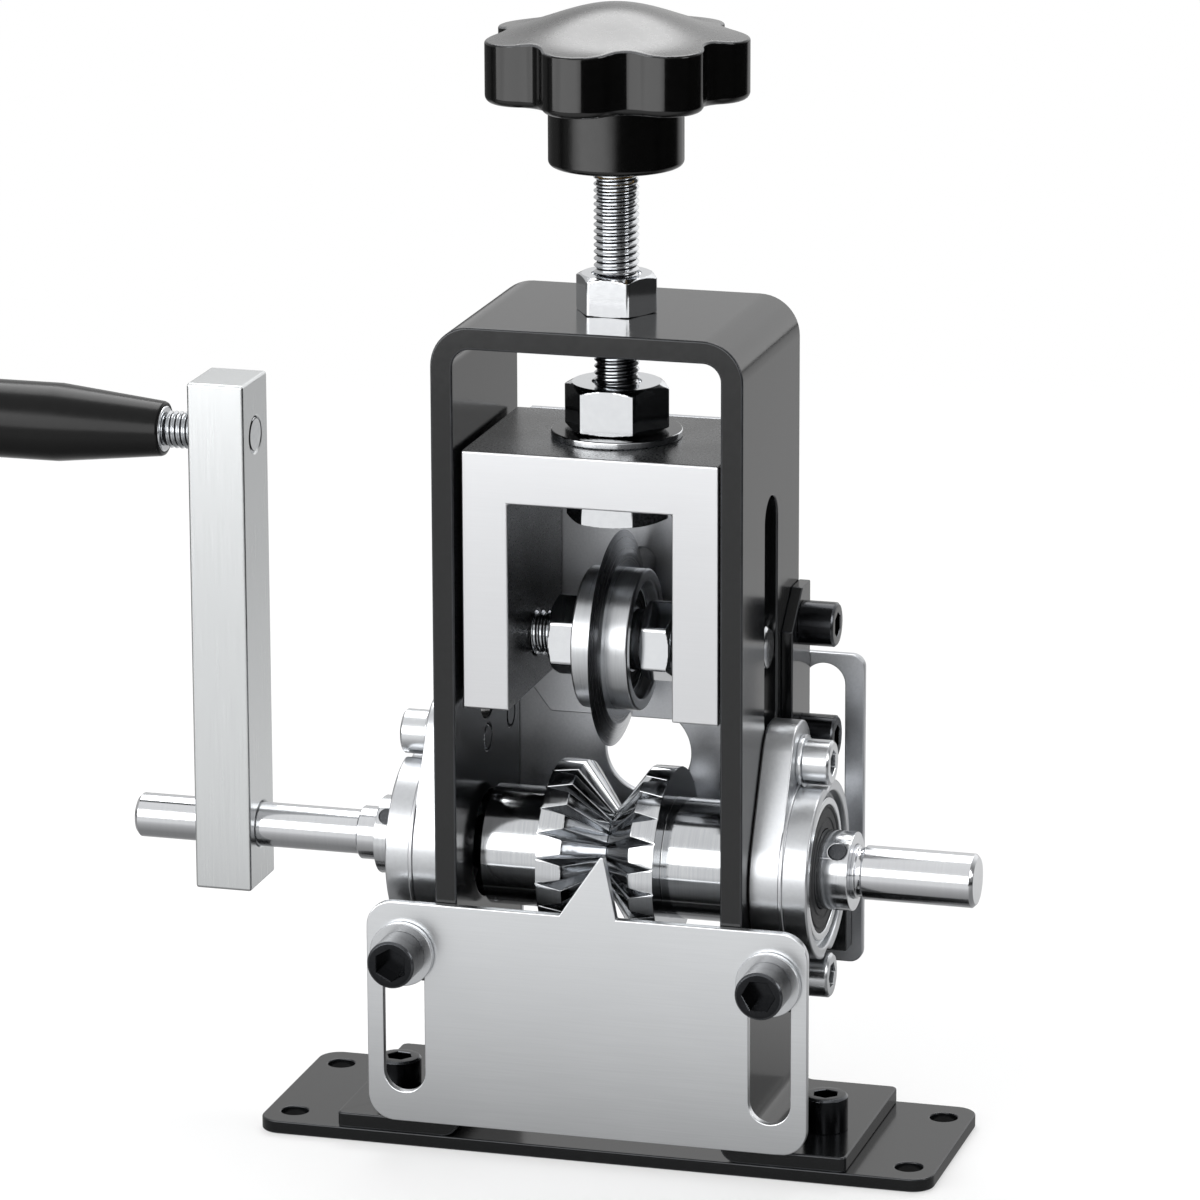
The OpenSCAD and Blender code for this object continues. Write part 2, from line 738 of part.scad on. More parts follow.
module balls() {
    color("#e8e9ea")
    at_bearing() translate([0, 0, bearing_mid]) ball_set(ball_count, ball_ring_r, ball_d);
}

module ball_cage() {
    color("#b08d57")
    at_bearing() translate([0, 0, bearing_mid])
        cage(ball_count, ball_ring_r, ball_d, bearing_w - 4 * shield_t, shield_t * 2);
}

module right_housing() { housing(); }
module left_housing() { mirror([1, 0, 0]) housing(); }
module right_outer_ring() { outer_ring(); }
module left_outer_ring() { mirror([1, 0, 0]) outer_ring(); }
module right_inner_ring() { inner_ring(); }
module left_inner_ring() { mirror([1, 0, 0]) inner_ring(); }
module right_shields() { shields(); }
module left_shields() { mirror([1, 0, 0]) shields(); }
module right_balls() { balls(); }
module left_balls() { mirror([1, 0, 0]) balls(); }
module right_cage() { ball_cage(); }
module left_cage() { mirror([1, 0, 0]) ball_cage(); }

module bearing_screws() {
    color("#e2e3e5")
    both_sides() at_bearing() at_flange_screws() translate([0, 0, flange_t + m6_washer_t])
        socket_screw(bearing_head_h, flange_t + m6_washer_t + strip_t);
}

module bearing_washers() {
    color("#c4c6c8")
    both_sides() at_bearing() at_flange_screws() translate([0, 0, flange_t])
        ring(m6_washer_d / 2, bore_r, m6_washer_t);
}

module ring_grub_screws() {
    color("#3a3b3d")
    both_sides() along_x(grub_x, shaft_z) for (a = [grub_turn, grub_turn + grub_spread])
        rotate([0, 90, a]) translate([0, 0, shaft_d / 2 + screw_gap])
            cylinder(h = (race_id - shaft_d) / 2 - 2 * screw_gap, d = grub_d);
}

// Lugs, plate screws and side straps

// The front's pieces, and the same ones turned round for the rear.
module lug() {
    difference() {
        translate([leg_x, -frame_d / 2, lug_z]) cube([lug_w, lug_d, lug_h]);
        children();
    }
}

module lug_bore(pitch) {
    along_y([pitch / 2, -frame_d / 2 - over, plate_screw_z]) cylinder(h = lug_d + 2 * over, r = bore_r);
}

module front_lugs() {
    color("#17181a") both_sides() lug() lug_bore(front_slot_pitch);
}

module rear_lugs() {
    color("#17181a") rotate([0, 0, 180]) both_sides() lug() lug_bore(rear_slot_pitch);
}

// One side's plate screw: it points backward into the front lug.
module plate_screw(pitch) {
    translate([pitch / 2, front_washer_y, plate_screw_z]) rotate([90, 0, 0])
        socket_screw(m6_head_h, plate_shank_l);
}

module plate_washer(pitch) {
    along_y([pitch / 2, front_washer_y, plate_screw_z]) ring(plate_washer_d / 2, bore_r, plate_washer_t);
}

module front_plate_screws() {
    color("#101113") both_sides() plate_screw(front_slot_pitch);
}

module front_plate_washers() {
    color("#d0d2d4") both_sides() plate_washer(front_slot_pitch);
}

module rear_plate_screws() {
    color("#101113") rotate([0, 0, 180]) both_sides() plate_screw(rear_slot_pitch);
}

module rear_plate_washers() {
    color("#d0d2d4") rotate([0, 0, 180]) both_sides() plate_washer(rear_slot_pitch);
}

module side_straps() {
    color("#1d1e20")
    both_sides() difference() {
        translate([leg_x, strap_y, strap_low]) cube([strap_t, strap_d, strap_h]);
        translate([leg_x - over, strap_y, strap_low + strap_h]) rotate([90, 0, 90])
            linear_extrude(strap_t + 2 * over)
                polygon([[-over, -strap_cut_h], [0, -strap_cut_h], [strap_cut_d, 0], [strap_cut_d, over],
                    [-over, over]]);
        along_x(leg_x - over, shaft_z) linear_extrude(strap_t + 2 * over) flange_outline(free_gap);
        for (i = [0, 1])
            translate([0, strap_screw_y, 0]) along_x(leg_x - over, strap_screw_z + i * strap_screw_pitch)
                cylinder(h = strap_t + 2 * over, r = bore_r);
    }
}

module strap_screws() {
    color("#101113")
    both_sides() for (i = [0, 1])
        translate([0, strap_screw_y, 0])
            along_x(leg_x + strap_t, strap_screw_z + i * strap_screw_pitch)
                socket_screw(m6_head_h, strap_t + strip_t);
}

// Drive

module drive_shaft() {
    r = shaft_d / 2;
    c = crank_end_d / 2;
    groove_x = leg_x + inner_ring_back + inner_ring_l + over;
    color("#c8cacc")
    along_x(0, shaft_z) rotate_extrude()
        polygon([
            [0, -crank_end_x], [c - shaft_chamfer, -crank_end_x], [c, -crank_end_x + shaft_chamfer],
            [c, -shaft_step_x], [r, -shaft_step_x],
            [r, groove_x], [stub_groove_d / 2, groove_x],
            [stub_groove_d / 2, groove_x + stub_groove_w], [r, groove_x + stub_groove_w],
            [r, drive_end_x - shaft_chamfer], [r - shaft_chamfer, drive_end_x], [0, drive_end_x]
        ]);
}

// A V prism that runs along +X of its own frame, with its edge on the axis and its mouth towards -Z.
module groove_prism(run, half_w) {
    rotate([90, 0, 90]) linear_extrude(run)
        polygon([[0, 0], [half_w, -land_r], [-half_w, -land_r]]);
}

// The right half of the roller along +Z: a toothed cone with its land and its hub.
module roller_half() {
    hub_r = roller_hub_d / 2;
    bore = shaft_d / 2 + screw_gap;
    low_r = waist_r - tooth_depth;
    rise = land_r + free_gap - low_r;
    climb = atan2(rise, zone_x);
    run = norm([rise, zone_x]);
    half_w = land_r * tan(tooth_angle / 2);
    difference() {
        rotate_extrude()
            polygon([
                [bore, half_gap / 2], [waist_r, half_gap / 2], [land_r, cone_x], [land_r, zone_x],
                [hub_r, zone_x], [hub_r, roller_l / 2], [bore, roller_l / 2]
            ]);
        for (i = [0 : tooth_count - 1])
            rotate([0, 0, 360 * i / tooth_count])
                translate([low_r, 0, 0]) rotate([0, climb - 90, 0]) groove_prism(run, half_w);
        translate([0, 0, roller_l / 2 - grub_d]) rotate([0, 90, 0])
            cylinder(h = roller_hub_d, d = grub_d + 2 * screw_gap);
    }
}

module feed_roller() {
    color("#b9bbbe")
    along_x(0, shaft_z) {
        roller_half();
        mirror([0, 0, 1]) rotate([0, 0, half_turn]) roller_half();
    }
}

module roller_grub_screws() {
    color("#3a3b3d")
    along_x(0, shaft_z) for (side = [0, 1])
        mirror([0, 0, side]) rotate([0, 0, side * half_turn])
            translate([shaft_d / 2 + screw_gap, 0, roller_l / 2 - grub_d]) rotate([0, 90, 0])
                cylinder(h = (roller_hub_d - shaft_d) / 2 - 2 * free_gap, d = grub_d);
}

module crank_arm() {
    color("#bfc1c3")
    difference() {
        translate([arm_out_x, -arm_t / 2, shaft_z - arm_below])
            cube([arm_w, arm_t, arm_below + arm_reach + arm_above]);
        along_x(arm_out_x - over, shaft_z) cylinder(h = arm_w + 2 * over, r = arm_clear);
        along_x(arm_out_x - over, stud_z) cylinder(h = arm_w + 2 * over, d = stud_d + 2 * screw_gap);
        translate([-arm_x - arm_w / 2, 0, shaft_z - arm_below - over])
            cylinder(h = arm_below + over - arm_clear / 2, d = grub_d + 2 * screw_gap);
    }
}

module arm_grub_screw() {
    color("#3a3b3d")
    translate([-arm_x - arm_w / 2, 0, shaft_z - arm_below + shaft_chamfer])
        cylinder(h = arm_below - shaft_chamfer - arm_clear, d = grub_d);
}

module handle_stud() {
    color("#b4b6b8")
    translate([grip_x, 0, stud_z]) rotate([0, -90, 0]) difference() {
        union() {
            translate([0, 0, arm_x + grip_x]) cylinder(h = -arm_x - grip_x - free_gap, d = stud_d);
            translate([0, 0, -free_gap - over]) cylinder(h = over + free_gap + stud_end, d = stud_core_d);
        }
        translate([0, 0, stud_end - end_shank_l - free_gap])
            cylinder(h = end_shank_l + free_gap + over, d = end_shank_d + 2 * screw_gap);
    }
}

// The grip's outline, as radius and distance along the handle from its small end.
module grip_outline() {
    big_r = grip_d / 2;
    small_r = grip_small_d / 2;
    difference() {
        union() {
            polygon([[0, ferrule_w], [small_r, ferrule_w], [big_r, grip_taper_l],
                [big_r, grip_l - grip_end_r], [0, grip_l - grip_end_r]]);
            translate([0, grip_l - grip_end_r - over]) square([big_r - grip_end_r, grip_end_r + over]);
            translate([big_r - grip_end_r, grip_l - grip_end_r]) circle(r = grip_end_r);
        }
        translate([-knob_r, 0]) square([knob_r, grip_l + over]);
    }
}

module handle_grip() {
    color("#0f1011")
    translate([grip_x, 0, stud_z]) rotate([0, -90, 0]) difference() {
        rotate_extrude() grip_outline();
        translate([0, 0, -over]) cylinder(h = grip_l + 2 * over, d = stud_core_d + 2 * run_fit);
        translate([0, 0, grip_l - end_recess])
            cylinder(h = end_recess + over, d = end_screw_d + 2 * free_gap);
    }
}

module handle_ferrule() {
    color("#8d8f92")
    translate([grip_x, 0, stud_z]) rotate([0, -90, 0])
        ring(grip_small_d / 2, stud_core_d / 2 + run_fit, ferrule_w);
}

module handle_end_screw() {
    color("#8d8f92")
    translate([grip_x, 0, stud_z]) rotate([0, -90, 0]) difference() {
        union() {
            translate([0, 0, stud_end]) cylinder(h = end_screw_h, d = end_screw_d);
            translate([0, 0, stud_end - end_shank_l]) cylinder(h = end_shank_l + over, d = end_shank_d);
        }
        translate([0, 0, stud_end + end_screw_h / 2])
            cylinder(h = end_recess, d = m6_key_af / cos(30), $fn = 6);
    }
}

// Carriage

module carriage_block() {
    color("#1f2022")
    difference() {
        translate([-carriage_w / 2, carriage_y, carriage_z]) cube([carriage_w, block_d, carriage_h]);
        translate([-window_w / 2, carriage_y - over, carriage_z - over])
            cube([window_w, block_d + 2 * over, carriage_h - beam_t + over]);
        along_x(-carriage_w / 2 - over, blade_z)
            cylinder(h = carriage_w + 2 * over, r = axle_d / 2 + screw_gap);
        translate([0, 0, beam_z - over]) cylinder(h = beam_t + 2 * over, d = screw_d + 2 * free_gap);
    }
}

module carriage_back() {
    half = back_w / 2;
    low = carriage_z - back_drop;
    wall_y = carriage_y + block_d;
    // Half the blade's height where it meets the wall, or nothing if it falls short of it
    rim = blade_d / 2 > wall_y ? sqrt(blade_d * blade_d / 4 - wall_y * wall_y) : 0;
    reach = rim + blade_slot_w / 2;
    color("#b7b9bb")
    translate([0, carriage_y + carriage_d, 0]) rotate([90, 0, 0]) linear_extrude(back_t) difference() {
        polygon([[-half, low + back_cut_h], [-half + back_cut_w, low], [half - back_cut_w, low],
            [half, low + back_cut_h], [half, carriage_top], [-half, carriage_top]]);
        translate([0, blade_z]) slot_outline(blade_slot_w, -reach, reach);
    }
}

module carriage_washers() {
    color("#c4c6c8") {
        translate([0, 0, carriage_top]) ring(upper_washer_d / 2, screw_d / 2 + free_gap, upper_washer_t);
        translate([0, 0, beam_z - lower_washer_t])
            ring(lower_washer_d / 2, screw_d / 2 + free_gap, lower_washer_t);
    }
}

module blade_axle() {
    color("#77797c")
    along_x(-axle_l / 2, blade_z) cylinder(h = axle_l, d = axle_d);
}

module axle_nuts() {
    color("#d0d2d4")
    both_sides() along_x(hub_w / 2, blade_z) hex_nut(axle_nut_af, axle_nut_h, axle_d / 2 + screw_gap);
}

// Blade

module at_blade() {
    along_x(0, blade_z) children();
}

module blade_inner_ring() {
    color("#d4d5d7")
    at_blade() difference() {
        translate([0, 0, -blade_bearing_w / 2])
            ring(blade_race_id / 2, axle_d / 2 + screw_gap, blade_bearing_w);
        race_groove(blade_ball_ring_r, blade_groove_r);
    }
}

module blade_spacers() {
    color("#a9abad")
    both_sides() along_x(blade_bearing_w / 2, blade_z)
        ring(spacer_d / 2, axle_d / 2 + screw_gap, (hub_w - blade_bearing_w) / 2);
}

module blade_outer_ring() {
    color("#dfe0e2")
    at_blade() difference() {
        translate([0, 0, -blade_bearing_w / 2])
            ring(blade_bearing_od / 2, blade_race_od / 2, blade_bearing_w);
        race_groove(blade_ball_ring_r, blade_groove_r);
    }
}

module blade_shields() {
    color("#2a2b2d")
    at_blade() for (side = [0, 1]) mirror([0, 0, side])
        translate([0, 0, blade_bearing_w / 2 - 3 * shield_t / 2])
            ring(blade_race_od / 2, blade_race_id / 2 + slide_gap, shield_t);
}

module blade_balls() {
    color("#e8e9ea")
    at_blade() ball_set(blade_ball_count, blade_ball_ring_r, blade_ball_d);
}

module blade_cage() {
    color("#b08d57")
    at_blade() cage(blade_ball_count, blade_ball_ring_r, blade_ball_d,
        blade_bearing_w - 4 * shield_t, shield_t * 1.6);
}

module blade_hub() {
    color("#8f9194")
    at_blade() translate([0, 0, free_gap - hub_w / 2])
        ring(hub_d / 2, blade_bearing_od / 2, hub_w - 2 * free_gap);
}

module blade_disc() {
    r = blade_d / 2;
    color("#6e7073")
    at_blade() rotate_extrude()
        polygon([[hub_d / 2, -blade_t / 2], [r - blade_bevel, -blade_t / 2], [r, 0],
            [r - blade_bevel, blade_t / 2], [hub_d / 2, blade_t / 2]]);
}

// Adjusting screw and knob

module adjusting_screw() {
    color("#c8cacc")
    translate([0, 0, screw_low_z]) cylinder(h = screw_top_z - screw_low_z, d = screw_d);
}

module upper_lock_nut() {
    color("#c9cbcd")
    translate([0, 0, upper_nut_z]) rotate([0, 0, lock_nut_turn])
        hex_nut(upper_nut_af, upper_nut_h, screw_d / 2 + screw_gap);
}

module lower_lock_nut() {
    color("#c9cbcd")
    translate([0, 0, lower_nut_z]) rotate([0, 0, lock_nut_turn])
        hex_nut(lower_nut_af, lower_nut_h, screw_d / 2 + screw_gap);
}

// The lobed outline: round tips and round hollows that run smoothly into each other.
module lobe_outline() {
    step = 180 / lobe_count;
    tip_r = knob_r - lobe_r;
    reach = lobe_r + hollow_r;
    // Distance of a hollow's centre, from the triangle of the middle, a tip's centre and a hollow's
    hollow_at = tip_r * cos(step) + sqrt(reach * reach - pow(tip_r * sin(step), 2));
    difference() {
        union() {
            for (i = [0 : lobe_count - 1])
                rotate(i * 2 * step + step) translate([tip_r, 0]) circle(r = lobe_r);
            polygon([for (i = [0 : 2 * lobe_count - 1])
                let (at = i % 2 == 0 ? hollow_at : tip_r) [at * cos(i * step), at * sin(i * step)]]);
        }
        for (i = [0 : lobe_count - 1])
            rotate(i * 2 * step) translate([hollow_at, 0]) circle(r = hollow_r);
    }
}

module knob() {
    color("#0f1011")
    rotate([0, 0, knob_turn - 90]) difference() {
        union() {
            translate([0, 0, knob_z]) intersection() {
                linear_extrude(knob_side_h + dome_h) lobe_outline();
                translate([0, 0, knob_side_h + dome_h - dome_r]) sphere(r = dome_r, $fn = 192);
            }
            translate([0, 0, hub_z]) cylinder(h = knob_hub_h + over, d = knob_hub_d);
        }
        translate([0, 0, hub_z - over]) cylinder(h = insert_l + over, d = insert_d);
    }
}

module knob_insert() {
    color("#b08d57")
    translate([0, 0, hub_z]) ring(insert_d / 2, screw_d / 2 + screw_gap, insert_l);
}

// Guide plates, drawn in the plane of X and Z and given their thickness along Y.

module plate_slots(pitch, low, high) {
    for (x = [-1, 1]) translate([x * pitch / 2, 0]) slot_outline(slot_w, low, high);
}

// The spike above the plate's edge at the height top: its sides run on a little way into the plate.
module spike_outline(top) {
    left_lean = (spike_left + spike_tip_x - spike_tip_w / 2) * over / spike_h;
    right_lean = (spike_right - spike_tip_x - spike_tip_w / 2) * over / spike_h;
    polygon([
        [-spike_left - left_lean, top - over],
        [spike_tip_x - spike_tip_w / 2, top + spike_h],
        [spike_tip_x + spike_tip_w / 2, top + spike_h],
        [spike_right + right_lean, top - over]
    ]);
}

module front_plate() {
    color("#b9bbbd")
    translate([0, front_plate_y + plate_t, 0]) rotate([90, 0, 0]) difference() {
        union() {
            translate([0, front_plate_z + front_plate_h / 2]) linear_extrude(plate_t)
                rounded_rect(front_plate_w, front_plate_h, front_corner_r);
            linear_extrude(plate_t) spike_outline(front_plate_top);
        }
        translate([0, 0, -over]) linear_extrude(plate_t + 2 * over)
            plate_slots(front_slot_pitch, front_plate_z + front_slot_low, front_plate_top - front_slot_top);
    }
}

module rear_plate() {
    top = rear_plate_low + rear_plate_h;
    color("#9a9c9f")
    translate([0, rear_plate_y + plate_t, 0]) rotate([90, 0, 0]) linear_extrude(plate_t) difference() {
        translate([0, rear_plate_low + rear_plate_h / 2])
            rounded_rect(rear_plate_w, rear_plate_h, rear_corner_r);
        plate_slots(rear_slot_pitch, rear_plate_low + rear_slot_low, top - rear_slot_top);
        translate([0, shaft_z + wire_hole_up]) circle(d = wire_hole_d);
        translate([-leg_in, rear_plate_low - over]) square([2 * leg_in, rear_cut_h + over]);
    }
}

base_plate();
frame();
foot_screws();
top_nut();
left_housing();
right_housing();
left_outer_ring();
right_outer_ring();
left_shields();
right_shields();
bearing_screws();
bearing_washers();
front_lugs();
rear_lugs();
front_plate_screws();
front_plate_washers();
rear_plate_screws();
rear_plate_washers();
side_straps();
strap_screws();
drive_shaft();
feed_roller();
roller_grub_screws();
left_inner_ring();
right_inner_ring();
ring_grub_screws();
left_balls();
left_cage();
right_balls();
right_cage();
crank_arm();
arm_grub_screw();
handle_stud();
handle_grip();
handle_ferrule();
handle_end_screw();
carriage_block();
carriage_back();
carriage_washers();
blade_axle();
axle_nuts();
blade_inner_ring();
blade_spacers();
blade_disc();
blade_hub();
blade_outer_ring();
blade_shields();
blade_balls();
blade_cage();
adjusting_screw();
knob();
knob_insert();
upper_lock_nut();
lower_lock_nut();
front_plate();
rear_plate();
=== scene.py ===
"""Looks of a bench wire stripping machine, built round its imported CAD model.

Lengths are written in millimetres and turned to metres where a mesh is made. The frame is the model's own:
+X runs along the shaft to the drive end, -Y faces the user and +Z is up.
"""

import logging
import math
from dataclasses import dataclass
from enum import Enum
from functools import partial
from typing import Any, Sequence

import bmesh
import bpy
import numpy as np
from mathutils import Matrix, Vector


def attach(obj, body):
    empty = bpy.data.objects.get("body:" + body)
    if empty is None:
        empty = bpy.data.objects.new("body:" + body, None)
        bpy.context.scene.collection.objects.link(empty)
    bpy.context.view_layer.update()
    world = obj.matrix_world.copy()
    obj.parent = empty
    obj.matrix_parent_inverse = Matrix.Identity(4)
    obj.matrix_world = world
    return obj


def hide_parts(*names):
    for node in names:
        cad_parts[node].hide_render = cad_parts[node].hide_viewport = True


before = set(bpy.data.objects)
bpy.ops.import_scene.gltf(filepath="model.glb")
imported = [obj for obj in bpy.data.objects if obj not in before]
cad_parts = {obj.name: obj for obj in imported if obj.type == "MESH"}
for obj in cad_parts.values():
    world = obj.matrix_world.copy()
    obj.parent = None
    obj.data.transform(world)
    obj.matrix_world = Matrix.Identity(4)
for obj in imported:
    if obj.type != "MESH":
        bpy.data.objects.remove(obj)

LOG = logging.getLogger("wire_stripper")
MM = 0.001
TURN = 2 * math.pi
QUARTER = math.pi / 2
# The distance below which two points of a CAD mesh are one, and the angle below which its faces are flat
CAD_MERGE_MM = 0.002
FLAT_DEGREES = 0.4
# The span that most of a noise's values fill
NOISE_SPAN = (0.3, 0.7)
WHITE = (1, 1, 1, 1)
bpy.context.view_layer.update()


class Axis(Enum):
    """The way that a turned piece's own +Z runs in the machine."""

    PLUS_X = (1, 0, 0)
    MINUS_X = (-1, 0, 0)
    PLUS_Y = (0, 1, 0)
    MINUS_Y = (0, -1, 0)
    PLUS_Z = (0, 0, 1)


class Side(Enum):
    """The two sides of the machine, as the sign of X."""

    LEFT = -1
    RIGHT = 1

    @property
    def out(self) -> Axis:
        """The way out of the machine on this side."""
        return Axis.PLUS_X if self is Side.RIGHT else Axis.MINUS_X


Place = tuple[Sequence[float], Axis]


class Grain(Enum):
    """What a surface's fine pattern follows."""

    EVEN = "even"
    ALONG_X = "along_x"
    ALONG_Z = "along_z"
    ROUND_X = "round_x"
    ROUND_Z = "round_z"
    ROUND_BLADE = "round_blade"


# How far each way of the pattern is stretched: a small share draws a long streak that way
STRETCH = {
    Grain.EVEN: (1, 1, 1),
    Grain.ALONG_X: (0.02, 1, 1),
    Grain.ALONG_Z: (1, 1, 0.02),
    Grain.ROUND_X: (1, 0.02, 0.02),
    Grain.ROUND_Z: (0.02, 0.02, 1),
}


def linear(code: str) -> tuple[float, float, float, float]:
    """Turns an sRGB hex colour to the linear colour that Blender's sockets take.

    Args:
        code: The colour as "#rrggbb".

    Returns:
        Red, green, blue and an alpha of 1.
    """
    parts = [int(code[i:i + 2], 16) / 255 for i in (1, 3, 5)]
    r, g, b = [c / 12.92 if c <= 0.04045 else ((c + 0.055) / 1.055) ** 2.4 for c in parts]
    return r, g, b, 1.0


def add_node(tree: bpy.types.NodeTree, kind: str, inputs: dict[Any, Any] | None = None,
             **settings: Any) -> bpy.types.Node:
    """Adds a node to a tree with its settings, its values and its links.

    Args:
        tree: The material's, world's or geometry's node tree.
        kind: The node's Blender type.
        inputs: What each input holds, by name or number: a socket to link, or a plain value.
        settings: The node's own properties.

    Returns:
        The new node.
    """
    node = tree.nodes.new(kind)
    for name, value in settings.items():
        setattr(node, name, value)
    for key, value in (inputs or {}).items():
        if isinstance(value, bpy.types.NodeSocket):
            tree.links.new(value, node.inputs[key])
        else:
            node.inputs[key].default_value = value
    return node


def maths(tree: bpy.types.NodeTree, operation: str, *values: Any) -> bpy.types.NodeSocket:
    """Adds one sum to a tree.

    Args:
        tree: The tree.
        operation: What the sum does.
        values: What it is done with: sockets or numbers.

    Returns:
        The socket that gives the result.
    """
    return add_node(tree, "ShaderNodeMath", dict(enumerate(values)), operation=operation).outputs[0]


def mapped(tree: bpy.types.NodeTree, value: bpy.types.NodeSocket, span: Sequence[float],
           to: Sequence[float] = (0.0, 1.0)) -> bpy.types.NodeSocket:
    """Maps one span of values to another, and what lies beyond it to the nearer end.

    Args:
        tree: The tree.
        value: The socket that is mapped.
        span: Where the span starts and ends.
        to: What its start and its end become.

    Returns:
        The socket that gives the result.
    """
    return add_node(tree, "ShaderNodeMapRange", {
        "Value": value, "From Min": span[0], "From Max": span[1],
        "To Min": to[0], "To Max": to[1]}).outputs[0]


@dataclass(frozen=True)
class Finish:
    """A surface finish: its colours, its gloss and the fine pattern that its making left on it."""

    name: str
    colour: str
    shade: str
    metallic: float
    roughness: tuple[float, float]
    grain: Grain = Grain.EVEN
    grain_mm: float = 1.0
    relief_mm: float = 0.0
    patch_mm: float = 30.0
    blend: tuple[float, float] = (0.1, 0.45)
    coat: float = 0.0
    coat_roughness: float = 0.05
    ior: float = 1.5

    def build(self) -> bpy.types.Material:
        """Makes the finish's node material.

        Returns:
            The material, made once and found by its name afterwards.
        """
        found = bpy.data.materials.get(self.name)
        if found:
            return found
        material = bpy.data.materials.new(self.name)
        material.use_nodes = True
        tree = material.node_tree
        shader = tree.nodes["Principled BSDF"]
        place = add_node(tree, "ShaderNodeTexCoord").outputs["Object"]
        fine = self._fine(tree, place)
        patches = add_node(tree, "ShaderNodeTexNoise", {
            "Vector": place, "Scale": 1 / (self.patch_mm * MM), "Detail": 3.0, "Roughness": 0.6})
        blend = mapped(tree, maths(tree, "MULTIPLY", fine, patches.outputs["Fac"]), self.blend)
        colour = add_node(tree, "ShaderNodeMix", {
            0: blend, 6: linear(self.shade), 7: linear(self.colour)}, data_type="RGBA")
        tree.links.new(colour.outputs[2], shader.inputs["Base Color"])
        tree.links.new(mapped(tree, fine, NOISE_SPAN, self.roughness), shader.inputs["Roughness"])
        shader.inputs["Metallic"].default_value = self.metallic
        shader.inputs["Coat Weight"].default_value = self.coat
        shader.inputs["Coat Roughness"].default_value = self.coat_roughness
        if self.metallic < 0.5:
            shader.inputs["IOR"].default_value = self.ior
        if self.relief_mm:
            bump = add_node(tree, "ShaderNodeBump", {
                "Height": fine, "Strength": 1.0, "Distance": self.relief_mm * MM})
            tree.links.new(bump.outputs[0], shader.inputs["Normal"])
        return material

    def _fine(self, tree: bpy.types.NodeTree, place: bpy.types.NodeSocket) -> bpy.types.NodeSocket:
        """Makes the fine pattern, from 0 to 1.

        Args:
            tree: The material's tree.
            place: The Object coordinates.

        Returns:
            The socket that gives the pattern.
        """
        scale = 1 / (self.grain_mm * MM)
        if self.grain is Grain.ROUND_BLADE:
            centred = add_node(tree, "ShaderNodeMapping", {
                "Vector": place, "Location": (0, 0, -Blade.axis_z * MM), "Scale": (0.1, 1, 1)})
            length = add_node(tree, "ShaderNodeVectorMath", {0: centred.outputs[0]}, operation="LENGTH")
            return add_node(tree, "ShaderNodeTexNoise", {
                "W": length.outputs["Value"], "Scale": scale, "Detail": 4.0},
                noise_dimensions="1D").outputs["Fac"]
        stretched = add_node(tree, "ShaderNodeMapping", {
            "Vector": place, "Scale": STRETCH[self.grain]})
        return add_node(tree, "ShaderNodeTexNoise", {
            "Vector": stretched.outputs[0], "Scale": scale, "Detail": 4.0, "Roughness": 0.6}).outputs["Fac"]


# Semi-gloss black stove paint on strip steel: deep black, with a soft mirror image at a low angle
BLACK_PAINT = Finish("semi_gloss_black_stove_paint", "#0f1011", "#0b0c0d", 0.0, (0.14, 0.18),
                     grain_mm=1.6, relief_mm=0.004, patch_mm=60, ior=1.45)
# A lighter paint on every rounded edge: partly paint rubbed thin, partly a painted highlight that draws a
# thin pale line
RUBBED_PAINT_AND_HIGHLIGHT = Finish("rubbed_black_paint_edge", "#323437", "#1e1f21", 0.3, (0.2, 0.26), grain_mm=4)
# Black oxide on alloy screws: dark, oily and still metallic
BLACK_OXIDE = Finish("oiled_black_oxide_steel", "#2e2f31", "#232426", 1.0, (0.18, 0.24), grain_mm=0.5,
                     patch_mm=6)
# A paler oxide for the chamfers: partly oxide rubbed through to bare steel, partly a painted highlight that
# draws a thin pale line round each head
WORN_OXIDE_AND_HIGHLIGHT = Finish("worn_black_oxide_edge", "#606265", "#4a4c4f", 1.0, (0.22, 0.28), grain_mm=0.5,
                    patch_mm=6)
# Bright zinc plate: nearly a mirror, with a faint cloudiness
BRIGHT_ZINC = Finish("bright_zinc_plate", "#e2e4e6", "#dadcdf", 1.0, (0.1, 0.12), grain_mm=1.5, patch_mm=15)
# Satin zinc plate on the bearing screws: a softer sheen than the nuts have
SATIN_ZINC = Finish("satin_zinc_plate", "#cfd1d3", "#c6c8cb", 1.0, (0.22, 0.25), grain_mm=1.5, patch_mm=15)
# Die-cast zinc alloy: silver, smooth and a little uneven
CAST_ALLOY = Finish("satin_die_cast_zinc_alloy", "#c6c8ca", "#babcbf", 1.0, (0.28, 0.32),
                    grain_mm=0.9, relief_mm=0.001, patch_mm=40)
# Ground and polished bearing steel
BEARING_STEEL = Finish("polished_bearing_steel", "#d2d4d6", "#c4c6c9", 1.0, (0.15, 0.18),
                       grain=Grain.ROUND_X, grain_mm=0.3, patch_mm=8)
# Turned brass: warm, with fine tool marks
TURNED_BRASS = Finish("turned_brass", "#c8a468", "#9c7c45", 1.0, (0.2, 0.32), grain=Grain.ROUND_Z,
                      grain_mm=0.25, relief_mm=0.004, patch_mm=9)
# Nitrile rubber seal, matt and dark
NITRILE_SEAL = Finish("nitrile_rubber_seal", "#232427", "#18191b", 0.0, (0.5, 0.65), grain_mm=0.4,
                      relief_mm=0.01, patch_mm=5)
# Centreless-ground bright bar: fine rings round the shaft
GROUND_SHAFT = Finish("centreless_ground_shaft", "#d4d6d8", "#cccdd0", 1.0, (0.12, 0.14),
                      grain=Grain.ROUND_X, grain_mm=0.3, patch_mm=40)
